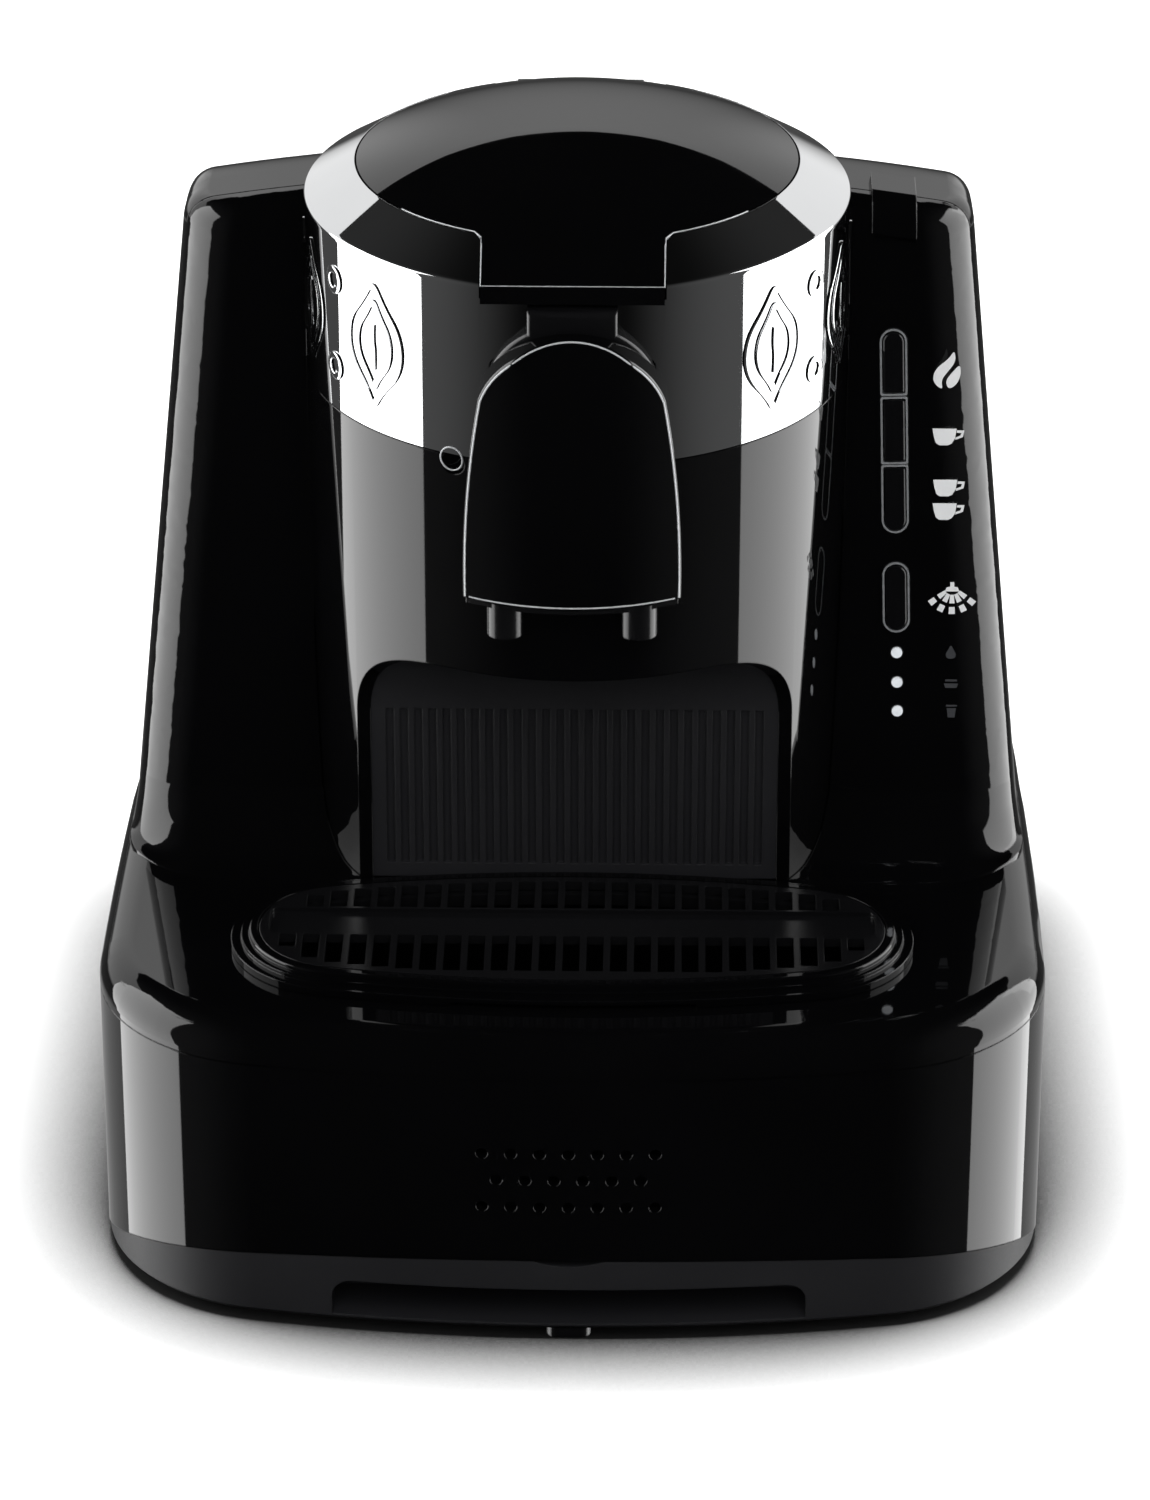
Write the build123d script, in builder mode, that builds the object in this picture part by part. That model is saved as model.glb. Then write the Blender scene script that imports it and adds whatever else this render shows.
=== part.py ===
"""Automatic two-cup Turkish coffee maker, built as separate pieces.

Millimetres. X is the machine's right seen from the front, -Y is the front, Z is up.
The origin lies on the table, below the axis of the brewing pot.
"""

import os
from math import cos, radians, sin, sqrt

from build123d import *

os.makedirs("parts", exist_ok=True)

# ---------------------------------------------------------------- driving sizes
WALL = 2.5                     # moulded wall of the housings
FIT = 0.15                     # gap between fixed pieces
MOVE = 0.4                     # gap round pieces that move

# base, seen in plan
FRONT_Y = -116.0               # front of the bowed front wall
REAR_Y = 116.0                 # back of the machine
BASE_X = 109.3                 # half width at the front corners
BASE_REAR_X = 104.3            # half width at the rear corners
CORNER_R = 44.0                # big front corners
CORNER_X, CORNER_Y = BASE_X - CORNER_R, -66.0
CORNER_D = CORNER_Y - FRONT_Y
FRONT_R = (CORNER_X**2 + CORNER_D**2 - CORNER_R**2) / (2 * (CORNER_D - CORNER_R))
REAR_R = 14.0

# base, heights
TUB_Z = 2.4                    # underside of the tub, above the feet
SKIRT_Z = 21.0                 # top of the matt skirt at the front centre
SKIRT_FALL = 0.373             # its fall per mm toward the back
SEAM_Z = 68.0                  # seam between front band and deck
DECK_Z = 77.6                  # top of the deck
DECK_R = 8.0                   # rounding of the deck's edge

# tower
FACE_Y, FACE_Z, LEAN = 4.0, 232.0, 0.158       # the front face leans back
SIDE_X, SIDE_Z, SIDE_LEAN = 99.2, 147.0, 0.0945
LEVEL_Z = 236.3                                # level front part of the arched top
CREST_Z, CREST_Y = 242.9, 16.0                 # a point on the part that falls away behind it
RIDGE_R = 40.0                                 # soft ridge between the two
SLOPE = radians(23)                            # fall of the top toward the back
ARCH_R = 532.0                                 # arch of the top across the machine
SHOULDER_R = 7.0
TOWER_R = 15.0                                 # upright corners of the tower
TOWER_IN = 2.0                                 # the tower narrows toward the back
LID_DROP = 5.0                                 # height of the tank lid's edge
LID_FRONT = 12.0                               # front edge of the tank lid, on the level part

# column, crown ring and dome lid
RING_R = 62.5
RING_TOP, RING_BOT = 237.5, 195.5
RING_T = 2.2
LID_R = 50.4
LID_SEAM_Z = RING_TOP + 7.1
LID_APEX_Z = LID_SEAM_Z + 10.5
SEAT_R = LID_R + MOVE          # the ring's mouth round the lid
TONGUE_X = 20.3                # half width of the lid's grip tongue
HINGE_Y, HINGE_Z = 53.8, LID_SEAM_Z - 5.2
KNUCKLE_R = 2.6                # barrels of the lid's hinge
LID_PIN_R = 1.5
BORE_FIT = 0.06                # play between a hinge pin and its bore

# cup bay in the column's foot
BAY_Y = -37.0                  # face of the ribbed wall
BAY_TOP = 142.0
BAY_R = 20.0                   # rounding under the bay's ceiling

# spout
SPOUT_X = 24.4
SPOUT_TOP, SPOUT_BOT = 229.6, 166.0
COLLAR_X, COLLAR_SPRING, COLLAR_BOT = 19.4, 212.0, 175.0
CHANNEL_Z = COLLAR_SPRING      # height of the coffee way from the pot
COLLAR_FRONT_R = 41.2
SPOUT_FRONT_R = 49.0
SPOUT_Y = -75.0
SPOUT_T = 1.8
NOZZLE_X, NOZZLE_Y, NOZZLE_R, NOZZLE_Z = 15.0, -68.0, 4.15, 157.0

# drip tray
TRAY_X, TRAY_Y, TRAY_RY = 78.6, -68.6, 31.2
TRAY_LONG_R = 300.0            # its long sides bow slightly
TRAY_END_R = (TRAY_X**2 + TRAY_RY**2 - 2 * TRAY_LONG_R * TRAY_RY) / (2 * (TRAY_X - TRAY_LONG_R))
TRAY_DEPTH = 24.0
SLOT_PITCH, SLOT_W = 5.43, 3.85
SLOT_ROWS = ((-89.1, -72.6), (-59.2, -44.5))
BAND_Y = (-72.6, -59.2)
GRATE_X = 69.8

# controls on the leaning face
STRIP_X, STRIP_Z = 74.0, 167.0                 # middle of the control strip
STRIP_TILT = 1.65                              # strip leans outward going down, degrees
BUTTON_W = 4.8
BUTTONS = (("top", 195.0, 14.4), ("middle", 178.9, 14.6), ("bottom", 162.6, 15.0), ("rinse", 139.0, 15.6))
LED_Z = (125.6, 118.4, 111.4)
PRESS = 1.0                                    # button travel
PLUNGER_DEPTH = 8.3                            # switch plungers' tops below the face

# tank
TANK_X, TANK_Y0, TANK_Z0 = 79.2, 69.0, 90.0
TANK_T = 2.2
TANK_HINGE_Y, TANK_HINGE_Z = 109.8, 197.4
HINGE_R = 3.0                  # barrels of the tank lid's hinge
TANK_PIN_R = 1.25
LID_REAR = 106.2               # back edge of the tank lid


# ---------------------------------------------------------------- shared outlines
def plan_outline(inset: float):
    """Draw the base outline, moved inward, in the active sketch."""
    x, y, r = BASE_X - inset, FRONT_Y + inset, CORNER_R - inset
    front_c = FRONT_Y + FRONT_R
    scale = (FRONT_R - inset) / sqrt(CORNER_X**2 + (CORNER_Y - front_c) ** 2)
    tx, ty = CORNER_X * scale, front_c + (CORNER_Y - front_c) * scale
    diag = r * 0.7071
    bx, by = BASE_REAR_X - inset, REAR_Y - inset
    rr = REAR_R - inset
    mid_y = (CORNER_Y + by - rr) / 2
    mid_x = x - (x - bx) * 0.235
    with BuildLine() as edge:
        ThreePointArc((-tx, ty), (0, y), (tx, ty))
        ThreePointArc((tx, ty), (CORNER_X + diag * 1.02, CORNER_Y - diag * 0.98), (x, CORNER_Y))
        ThreePointArc((x, CORNER_Y), (mid_x, mid_y), (bx, by - rr))
        ThreePointArc((bx, by - rr), (bx - rr * 0.2929, by - rr * 0.2929), (bx - rr, by))
        Line((bx - rr, by), (-bx + rr, by))
        ThreePointArc((-bx + rr, by), (-bx + rr * 0.2929, by - rr * 0.2929), (-bx, by - rr))
        ThreePointArc((-bx, by - rr), (-mid_x, mid_y), (-x, CORNER_Y))
        ThreePointArc((-x, CORNER_Y), (-CORNER_X - diag * 1.02, CORNER_Y - diag * 0.98), (-tx, ty))
    make_face(edge.edges())


def half_w(z: float) -> float:
    """Half width of the tower at a height."""
    return SIDE_X - SIDE_LEAN * (z - SIDE_Z)


def face_y(z: float) -> float:
    """Y of the tower's front face at a height."""
    return FACE_Y - LEAN * (FACE_Z - z)


def shoulder_axis(x: float) -> tuple:
    """Y and Z of the axis that the tower's front shoulder is rounded about."""
    z = LEVEL_Z - ARCH_R + sqrt(ARCH_R**2 - x * x) - SHOULDER_R
    return face_y(z) + SHOULDER_R * sqrt(1 + LEAN**2), z


def arched_block(top: float, run: tuple):
    """Draw the space under the arch at a height and run it along the machine."""
    e = 130.0
    low = top - (ARCH_R - sqrt(ARCH_R**2 - e * e))
    with BuildPart() as block:
        with BuildSketch(Plane.XZ.offset(-CREST_Y)):
            with BuildLine():
                ThreePointArc((-e, low), (0, top), (e, low))
                Polyline((e, low), (e, -120), (-e, -120), (-e, low))
            make_face()
        extrude(amount=170, both=True, dir=run)
    return block.part


LEVEL, FALLING = (0, 1, 0), (0, cos(SLOPE), -sin(SLOPE))


def envelope(inset: float, drop: float, shoulder: float, z0: float = 60.0):
    """Solid of the tower: leaning sides under an arched top, level in front and falling to the back."""
    with BuildPart() as env:
        for z in (z0, 262.0):
            with BuildSketch(Plane.XY.offset(z)) as sk:
                w, f, b = half_w(z) - inset, face_y(z) + inset, REAR_Y - inset
                v = w - TOWER_IN
                with BuildLine():
                    Polyline((-w, f), (w, f), (v, b), (-v, b), (-w, f))
                make_face()
                fillet(sk.vertices(), TOWER_R - inset)
        loft(ruled=True)
        add(arched_block(LEVEL_Z - drop - inset, LEVEL), mode=Mode.INTERSECT)
        add(arched_block(CREST_Z - drop - inset / cos(SLOPE), FALLING), mode=Mode.INTERSECT)
        if shoulder > 0:
            # soft ridge across the top, then the rounding all round it
            tops = env.faces().sort_by(lambda f: f.center().Z)[-2:]
            ridge = [e for e in tops[0].edges() if any(e.center() == g.center() for g in tops[1].edges())]
            fillet(ridge, RIDGE_R - inset)
            edges = [e for f in env.faces() if f.normal_at(f.center()).Z > 0.85 for e in f.edges()]
            fillet([e for e in edges if sum(e.center() == g.center() for g in edges) == 1], shoulder)
    return env.part


def tray_outline(inset: float):
    """Draw the tray's full oval of four arcs, moved inward, in the active sketch."""
    long_c, end_c = TRAY_RY - TRAY_LONG_R, TRAY_X - TRAY_END_R
    a, b, r = TRAY_X - inset, TRAY_RY - inset, TRAY_LONG_R - inset
    k = r / sqrt(long_c**2 + end_c**2)
    tx, ty = end_c * k, long_c - long_c * k
    y = TRAY_Y
    with BuildLine() as edge:
        ThreePointArc((-tx, y + ty), (0, y + b), (tx, y + ty))
        ThreePointArc((tx, y + ty), (a, y), (tx, y - ty))
        ThreePointArc((tx, y - ty), (0, y - b), (-tx, y - ty))
        ThreePointArc((-tx, y - ty), (-a, y), (-tx, y + ty))
    make_face(edge.edges())


def tray_reach(x: float, inset: float) -> float:
    """Half depth of the oval, moved inward, at a distance from its middle."""
    end_c, end_r = TRAY_X - TRAY_END_R, TRAY_END_R - inset
    if abs(x) > end_c:
        return sqrt(max(0.0, end_r**2 - (abs(x) - end_c) ** 2))
    return TRAY_RY - TRAY_LONG_R + sqrt((TRAY_LONG_R - inset) ** 2 - x * x)


def shield_outline(shrink: float, bottom: float):
    """Draw the spout shield's arch, moved inward, in the active sketch (local x, z)."""
    half, top = SPOUT_X - shrink, SPOUT_TOP - shrink
    neck, waist = 0.848 * half, 0.922 * half
    z1, z2 = SPOUT_TOP - 14.9 - shrink * 0.3, SPOUT_TOP - 27.0
    with BuildLine() as edge:
        ThreePointArc((half, bottom), (waist, z2), (neck, z1))
        ThreePointArc((neck, z1), (0, top), (-neck, z1))
        ThreePointArc((-neck, z1), (-waist, z2), (-half, bottom))
        Line((-half, bottom), (half, bottom))
    make_face(edge.edges())


def collar_outline(grow: float):
    """Draw the round-topped collar behind the shield in the active sketch (local x, z)."""
    half = COLLAR_X + grow
    with BuildLine() as edge:
        Polyline((-half, COLLAR_SPRING), (-half, COLLAR_BOT), (half, COLLAR_BOT), (half, COLLAR_SPRING))
        ThreePointArc((half, COLLAR_SPRING), (0, COLLAR_SPRING + half), (-half, COLLAR_SPRING))
    make_face(edge.edges())


UP = sqrt(1 + LEAN**2)
_t = radians(STRIP_TILT)
STRIP = Plane(
    origin=(STRIP_X, FACE_Y - LEAN * (FACE_Z - STRIP_Z), STRIP_Z),
    x_dir=(cos(_t), sin(_t) * LEAN / UP, sin(_t) / UP),
    z_dir=(0, -1 / UP, LEAN / UP),
)


def strip_v(z: float) -> float:
    """Distance along the control strip for a height."""
    return (z - STRIP_Z) * UP


def button_outline(kind: str, z: float, height: float, grow: float):
    """Draw one button's face on the strip in the active sketch."""
    w, h, v = BUTTON_W / 2 + grow, height / 2 + grow, strip_v(z)
    lo, hi = v - h, v + h
    r = w - 0.02
    top_r = r if kind in ("top", "rinse") else 0.5
    low_r = r if kind in ("bottom", "rinse") else 0.5
    with BuildLine() as edge:
        Polyline((-w, hi - top_r), (-w, lo + low_r))
        ThreePointArc((-w, lo + low_r), (-w + low_r * 0.2929, lo + low_r * 0.2929), (-w + low_r, lo))
        Line((-w + low_r, lo), (w - low_r, lo))
        ThreePointArc((w - low_r, lo), (w - low_r * 0.2929, lo + low_r * 0.2929), (w, lo + low_r))
        Line((w, lo + low_r), (w, hi - top_r))
        ThreePointArc((w, hi - top_r), (w - top_r * 0.2929, hi - top_r * 0.2929), (w - top_r, hi))
        Line((w - top_r, hi), (-w + top_r, hi))
        ThreePointArc((-w + top_r, hi), (-w + top_r * 0.2929, hi - top_r * 0.2929), (-w, hi - top_r))
    make_face(edge.edges())


# ---------------------------------------------------------------- tower volumes
outer = envelope(0, 0, SHOULDER_R)
inner = envelope(WALL, LID_DROP, 0)
with BuildPart() as under_lid:
    # everything below the tank lid's seam, and in front of it
    add(arched_block(LEVEL_Z - LID_DROP, LEVEL))
    add(arched_block(CREST_Z - LID_DROP, FALLING), mode=Mode.INTERSECT)
    with Locations((0, LID_FRONT, 0)):
        Box(300, 300, 600, align=(Align.CENTER, Align.MAX, Align.CENTER))

# ---------------------------------------------------------------- body shell
with BuildPart() as body_shell:
    # deck with a rounded edge
    with BuildSketch(Plane.XY.offset(SEAM_Z + FIT)):
        plan_outline(0)
    extrude(amount=DECK_Z - SEAM_Z - FIT)
    fillet(body_shell.faces().sort_by(Axis.Z)[-1].edges(), DECK_R)
    # tower up to the lid's seam
    with BuildPart(mode=Mode.PRIVATE) as tower:
        add(outer)
        add(Pos(0, -0.3, -0.3) * under_lid.part, mode=Mode.INTERSECT)
        with Locations((0, 0, SEAM_Z + FIT)):
            Box(400, 400, 80, align=(Align.CENTER, Align.CENTER, Align.MAX), mode=Mode.SUBTRACT)
    add(tower.part)
    # concave sweep from the deck into the tower's face
    sweep_r = 18.0
    for h in (-1.0, 0.0, 1.2, 3.0, 5.5, 9.0, 13.0, 18.0):
        hh = max(h, 0.0)
        off = sweep_r - sqrt(sweep_r**2 - (sweep_r - hh) ** 2)
        z = DECK_Z + h
        with BuildSketch(Plane.XY.offset(z)) as foot:
            w, f = half_w(z) - 0.3 + off * 0.06, face_y(z) - off
            with BuildLine():
                Polyline((-w, f), (w, f), (w - 1, 60), (-w + 1, 60), (-w, f))
            make_face()
            fillet(foot.vertices().group_by(Axis.Y)[0], TOWER_R + off * 0.5)
    loft()
    # hollow inside
    with BuildSketch(Plane.XY.offset(SEAM_Z - 1)):
        plan_outline(WALL)
    extrude(amount=DECK_Z - WALL - SEAM_Z + 1, mode=Mode.SUBTRACT)
    add(inner, mode=Mode.SUBTRACT)
    # round bore for the column and crown ring
    with Locations((0, 0, DECK_Z + 30)):
        Cylinder(RING_R + FIT, 300, align=(Align.CENTER, Align.CENTER, Align.MIN), mode=Mode.SUBTRACT)
    with Locations((0, 0, DECK_Z)):
        Cylinder(RING_R + FIT, 31, align=(Align.CENTER, Align.CENTER, Align.MIN), mode=Mode.SUBTRACT)
    # bay for the tank, open at the top and the back
    with Locations((0, TANK_Y0 - MOVE, TANK_Z0 - MOVE)):
        Box(2 * (TANK_X + MOVE), 80, 200, align=(Align.CENTER, Align.MIN, Align.MIN), mode=Mode.SUBTRACT)
    # opening for the drip tray
    with BuildSketch(Plane.XY.offset(DECK_Z + 5)):
        tray_outline(4.0)
    extrude(amount=-14, mode=Mode.SUBTRACT)
    # one long slot for three buttons, one for the fourth, and round windows for the lamps
    keys_hi = strip_v(BUTTONS[0][1]) + BUTTONS[0][2] / 2
    keys_lo = strip_v(BUTTONS[2][1]) - BUTTONS[2][2] / 2
    with BuildSketch(STRIP.offset(3)):
        button_outline("rinse", STRIP_Z + (keys_hi + keys_lo) / 2 / UP, keys_hi - keys_lo, 0.85)
        button_outline(*BUTTONS[3], 0.85)
    extrude(amount=-9, mode=Mode.SUBTRACT)
    with BuildSketch(STRIP.offset(3)):
        with Locations(*[(0, strip_v(z)) for z in LED_Z]):
            Circle(1.45)
    extrude(amount=-9, mode=Mode.SUBTRACT)
    # row of air slots high on each side, near the back
    for sx in (-1, 1):
        with BuildSketch(Plane.YZ.offset(sx * 86)):
            with Locations(*[(22 + 6 * i, 126) for i in range(7)]):
                SlotOverall(26, 2.6, rotation=90)
        extrude(amount=sx * 30, mode=Mode.SUBTRACT)
body_shell.part.label = "body_shell"
export_step(body_shell.part, "parts/body_shell.step")

# ---------------------------------------------------------------- base
with BuildPart() as skirt_plane:
    # wedge below the slanted lower edge of the gloss band
    with BuildSketch(Plane.YZ):
        y_end = FRONT_Y + (SKIRT_Z - TUB_Z) / SKIRT_FALL
        with BuildLine():
            Polyline((FRONT_Y - 10, -5), (FRONT_Y - 10, SKIRT_Z + 10 * SKIRT_FALL), (y_end, TUB_Z),
                     (REAR_Y + 10, TUB_Z), (REAR_Y + 10, -5), (FRONT_Y - 10, -5))
        make_face()
    extrude(amount=140, both=True)

with BuildPart() as front_band:
    # gloss wall round the base, slanted along its lower edge
    with BuildSketch(Plane.XY.offset(TUB_Z + 0.3)):
        plan_outline(0)
    extrude(amount=SEAM_Z - TUB_Z - 0.3)
    with BuildSketch(Plane.XY.offset(0)):
        plan_outline(WALL)
    extrude(amount=SEAM_Z + 5, mode=Mode.SUBTRACT)
    add(Pos(0, 0, FIT) * skirt_plane.part, mode=Mode.SUBTRACT)
    # three staggered rows of round sound holes
    for z, n in ((49.2, 7), (42.3, 6), (35.3, 7)):
        with BuildSketch(Plane.XZ.offset(-FRONT_Y + 5)):
            with Locations(*[((i - (n - 1) / 2) * 6.54, z) for i in range(n)]):
                Circle(1.35)
        extrude(amount=-12, mode=Mode.SUBTRACT)
    # outlet for the mains lead's gland, at the back
    with BuildSketch(Plane.XZ.offset(-REAR_Y - 2)):
        with Locations((-70, 24)):
            Circle(6.2)
    extrude(amount=8, mode=Mode.SUBTRACT)
front_band.part.label = "front_band"
export_step(front_band.part, "parts/front_band.step")

with BuildPart() as base_tub:
    # matt tub: the skirt wedge in front, a floor and an inner wall
    with BuildSketch(Plane.XY.offset(TUB_Z)):
        plan_outline(0.3)
    extrude(amount=26)
    add(skirt_plane.part, mode=Mode.INTERSECT)
    chamfer(base_tub.faces().sort_by(Axis.Z)[0].edges(), 1.2)
    with BuildSketch(Plane.XY.offset(TUB_Z)):
        plan_outline(WALL + FIT + 1.2)
    extrude(amount=SEAM_Z - 8 - TUB_Z)
    with BuildSketch(Plane.XY.offset(TUB_Z + WALL)):
        plan_outline(2 * WALL + FIT + 1.2)
        with Locations((0, FRONT_Y)):
            Rectangle(124, 44, mode=Mode.SUBTRACT)
    extrude(amount=SEAM_Z, mode=Mode.SUBTRACT)
    with BuildSketch(Plane.XY.offset(18)):
        plan_outline(2 * WALL + FIT + 1.2)
    extrude(amount=SEAM_Z, mode=Mode.SUBTRACT)
    # hand grip in the front of the skirt
    with BuildSketch(Plane.XZ.offset(-FRONT_Y + 2)) as grip:
        with BuildLine():
            Polyline((-54.3, 4.2), (54.3, 4.2), (54.3, 13.2), (-54.3, 13.2), (-54.3, 4.2))
        make_face()
        fillet(grip.vertices().group_by(Axis.Y)[-1], 4.5)
    extrude(amount=-19, mode=Mode.SUBTRACT)
    # recess for the speaker, behind the sound holes
    with Locations((0, FRONT_Y + 2 * WALL + 9, 42.3)):
        Cylinder(21, 16, rotation=(90, 0, 0), mode=Mode.SUBTRACT)
    with Locations((0, FRONT_Y + 5, 42.3)):
        Cylinder(23, 12, rotation=(90, 0, 0), mode=Mode.SUBTRACT)
    # outlet for the mains lead's gland
    with BuildSketch(Plane.XZ.offset(-REAR_Y - 2)):
        with Locations((-70, 24)):
            Circle(6.2)
    extrude(amount=20, mode=Mode.SUBTRACT)
    # foot pockets and screw holes underneath
    with Locations(*[(x, y, TUB_Z) for x in (-84, 84) for y in (-66, 98)]):
        Cylinder(9.2, 1.0, align=(Align.CENTER, Align.CENTER, Align.MIN), mode=Mode.SUBTRACT)
    with Locations(*[(x, y, TUB_Z - 1) for x in (-66, 66) for y in (-48, 84)]):
        Cylinder(2.3, 8, align=(Align.CENTER, Align.CENTER, Align.MIN), mode=Mode.SUBTRACT)
    # air slots in the floor
    with BuildSketch(Plane.XY.offset(TUB_Z - 1)):
        with Locations(*[(9 * i, 30) for i in range(-4, 5)]):
            SlotOverall(40, 3, rotation=90)
    extrude(amount=6, mode=Mode.SUBTRACT)
base_tub.part.label = "base_tub"
export_step(base_tub.part, "parts/base_tub.step")

with BuildPart() as rubber_feet:
    with Locations(*[(x, y, 0) for x in (-84, 84) for y in (-66, 98)]):
        Cone(8.2, 9.0, TUB_Z + 0.9, align=(Align.CENTER, Align.CENTER, Align.MIN))
rubber_feet.part.label = "rubber_feet"
export_step(rubber_feet.part, "parts/rubber_feet.step")

with BuildPart() as front_foot:
    # small stop foot under the front edge
    with BuildSketch(Plane.XY):
        with Locations((0, FRONT_Y + 5.4)):
            RectangleRounded(10, 8.6, 2.4)
    extrude(amount=TUB_Z - 0.02)
front_foot.part.label = "front_foot"
export_step(front_foot.part, "parts/front_foot.step")

with BuildPart() as base_screws:
    with Locations(*[(x, y, TUB_Z + 0.8) for x in (-66, 66) for y in (-48, 84)]):
        Cylinder(2.2, 1.4, align=(Align.CENTER, Align.CENTER, Align.MIN))
        Cylinder(1.5, 10, align=(Align.CENTER, Align.CENTER, Align.MIN))
    with Locations(*[(x, y, TUB_Z + 0.8) for x in (-66, 66) for y in (-48, 84)]):
        Box(2.6, 0.6, 0.7, align=(Align.CENTER, Align.CENTER, Align.MIN), mode=Mode.SUBTRACT)
        Box(0.6, 2.6, 0.7, align=(Align.CENTER, Align.CENTER, Align.MIN), mode=Mode.SUBTRACT)
base_screws.part.label = "base_screws"
export_step(base_screws.part, "parts/base_screws.step")

with BuildPart() as lead_gland:
    # rubber bush where the mains lead leaves the back, flush with the wall
    with BuildSketch(Plane.YZ.offset(-70)):
        with BuildLine():
            Polyline((REAR_Y - 9, 28), (REAR_Y - 9, 32.5), (REAR_Y - 6.6, 32.5), (REAR_Y - 6.6, 30.05),
                     (REAR_Y - 1.0, 30.05), (REAR_Y, 29.2), (REAR_Y, 28), (REAR_Y - 9, 28))
        make_face()
    revolve(axis=Axis((-70, 0, 24), (0, 1, 0)))
lead_gland.part.label = "lead_gland"
export_step(lead_gland.part, "parts/lead_gland.step")

# ---------------------------------------------------------------- column
with BuildPart() as bay_space:
    # space cut in the column's foot for the cups
    with BuildSketch(Plane.YZ):
        with BuildLine():
            Polyline((-90, DECK_Z - 1), (-90, BAY_TOP), (BAY_Y - BAY_R, BAY_TOP))
            ThreePointArc((BAY_Y - BAY_R, BAY_TOP),
                          (BAY_Y - BAY_R * 0.2929, BAY_TOP - BAY_R * 0.2929), (BAY_Y, BAY_TOP - BAY_R))
            Polyline((BAY_Y, BAY_TOP - BAY_R), (BAY_Y, DECK_Z - 1), (-90, DECK_Z - 1))
        make_face()
    extrude(amount=80, both=True)

with BuildPart() as column_cover:
    with Locations((0, 0, DECK_Z + FIT)):
        Cylinder(RING_R, RING_BOT - DECK_Z - FIT - 0.3, align=(Align.CENTER, Align.CENTER, Align.MIN))
        Cylinder(RING_R - WALL, RING_BOT, align=(Align.CENTER, Align.CENTER, Align.MIN), mode=Mode.SUBTRACT)
    add(bay_space.part, mode=Mode.SUBTRACT)
    # dimple of the round mark, left of the spout
    with Locations(Location((-26.9, -56.4, RING_BOT - 2.3))):
        Cylinder(2.6, 3.0, rotation=(90, 0, -25.5), mode=Mode.SUBTRACT)
column_cover.part.label = "column_cover"
export_step(column_cover.part, "parts/column_cover.step")

with BuildPart() as splash_back:
    # ribbed wall and ceiling of the cup bay
    with BuildSketch(Plane.YZ):
        with BuildLine():
            Polyline((-61.8, BAY_TOP + 0.2), (BAY_Y - BAY_R, BAY_TOP + 0.2))
            ThreePointArc((BAY_Y - BAY_R, BAY_TOP + 0.2),
                          (BAY_Y + 0.2 - BAY_R * 0.2929, BAY_TOP + 0.2 - BAY_R * 0.2929),
                          (BAY_Y + 0.2, BAY_TOP - BAY_R))
            Polyline((BAY_Y + 0.2, BAY_TOP - BAY_R), (BAY_Y + 0.2, DECK_Z + 0.3), (BAY_Y + 2.4, DECK_Z + 0.3),
                     (BAY_Y + 2.4, BAY_TOP - BAY_R))
            ThreePointArc((BAY_Y + 2.4, BAY_TOP - BAY_R),
                          (BAY_Y + 2.4 - (BAY_R + 2.2) * 0.2929, BAY_TOP + 2.4 - (BAY_R + 2.2) * 0.2929),
                          (BAY_Y - BAY_R, BAY_TOP + 2.4))
            Polyline((BAY_Y - BAY_R, BAY_TOP + 2.4), (-61.8, BAY_TOP + 2.4), (-61.8, BAY_TOP + 0.2))
        make_face()
    extrude(amount=70, both=True)
    # upright flutes
    for i in range(-13, 14):
        with Locations((3.3 * i, BAY_Y + 0.2, DECK_Z + 4)):
            Cylinder(1.0, BAY_TOP - BAY_R - DECK_Z - 4, align=(Align.CENTER, Align.CENTER, Align.MIN),
                     mode=Mode.SUBTRACT)
    with Locations((0, 0, DECK_Z)):
        Cylinder(RING_R - WALL - FIT, 120, align=(Align.CENTER, Align.CENTER, Align.MIN),
                 mode=Mode.INTERSECT)
splash_back.part.label = "splash_back"
export_step(splash_back.part, "parts/splash_back.step")

# ---------------------------------------------------------------- crown ring and collar
top = LID_SEAM_Z               # the pot, its seat and the lid's inner pieces hang from the lid's seam
with BuildPart() as crown_ring:
    with BuildSketch(Plane.XZ) as prof:
        with BuildLine():
            Polyline((RING_R - RING_T, RING_BOT), (RING_R, RING_BOT), (RING_R, RING_TOP),
                     (SEAT_R, LID_SEAM_Z), (SEAT_R, LID_SEAM_Z - 3.0),
                     (RING_R - RING_T, RING_TOP - 1.6), (RING_R - RING_T, RING_BOT))
        make_face()
        fillet(prof.vertices().sort_by(lambda v: (v.X - RING_R) ** 2 + (v.Y - RING_TOP) ** 2)[0], 1.4)
    revolve(axis=Axis.Z)
    # notch where the lid's tongue lies
    with Locations((0, -45, RING_TOP - 3.2)):
        Box(2 * (TONGUE_X + MOVE), 40, 20, align=(Align.CENTER, Align.MAX, Align.MIN), mode=Mode.SUBTRACT)
    with Locations((0, -SEAT_R, RING_TOP - 3.2)):
        Box(2 * (TONGUE_X + MOVE), 14, 20, align=(Align.CENTER, Align.MIN, Align.MIN), mode=Mode.SUBTRACT)
    # notch for the hinge
    with Locations((0, HINGE_Y + 3.6, HINGE_Z - 4.0)):
        Box(40, 16, 20, align=(Align.CENTER, Align.MAX, Align.MIN), mode=Mode.SUBTRACT)
    # way for the coffee channel
    with Locations((0, -60, CHANNEL_Z)):
        Cylinder(5.5, 14, rotation=(90, 0, 0), mode=Mode.SUBTRACT)
    # dimple of the round mark
    with Locations(Location((-26.9, -56.4, RING_BOT + 0.3))):
        Cylinder(2.6, 1.0, rotation=(90, 0, -25.5), mode=Mode.SUBTRACT)
crown_ring.part.label = "crown_ring"
export_step(crown_ring.part, "parts/crown_ring.step")

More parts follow.
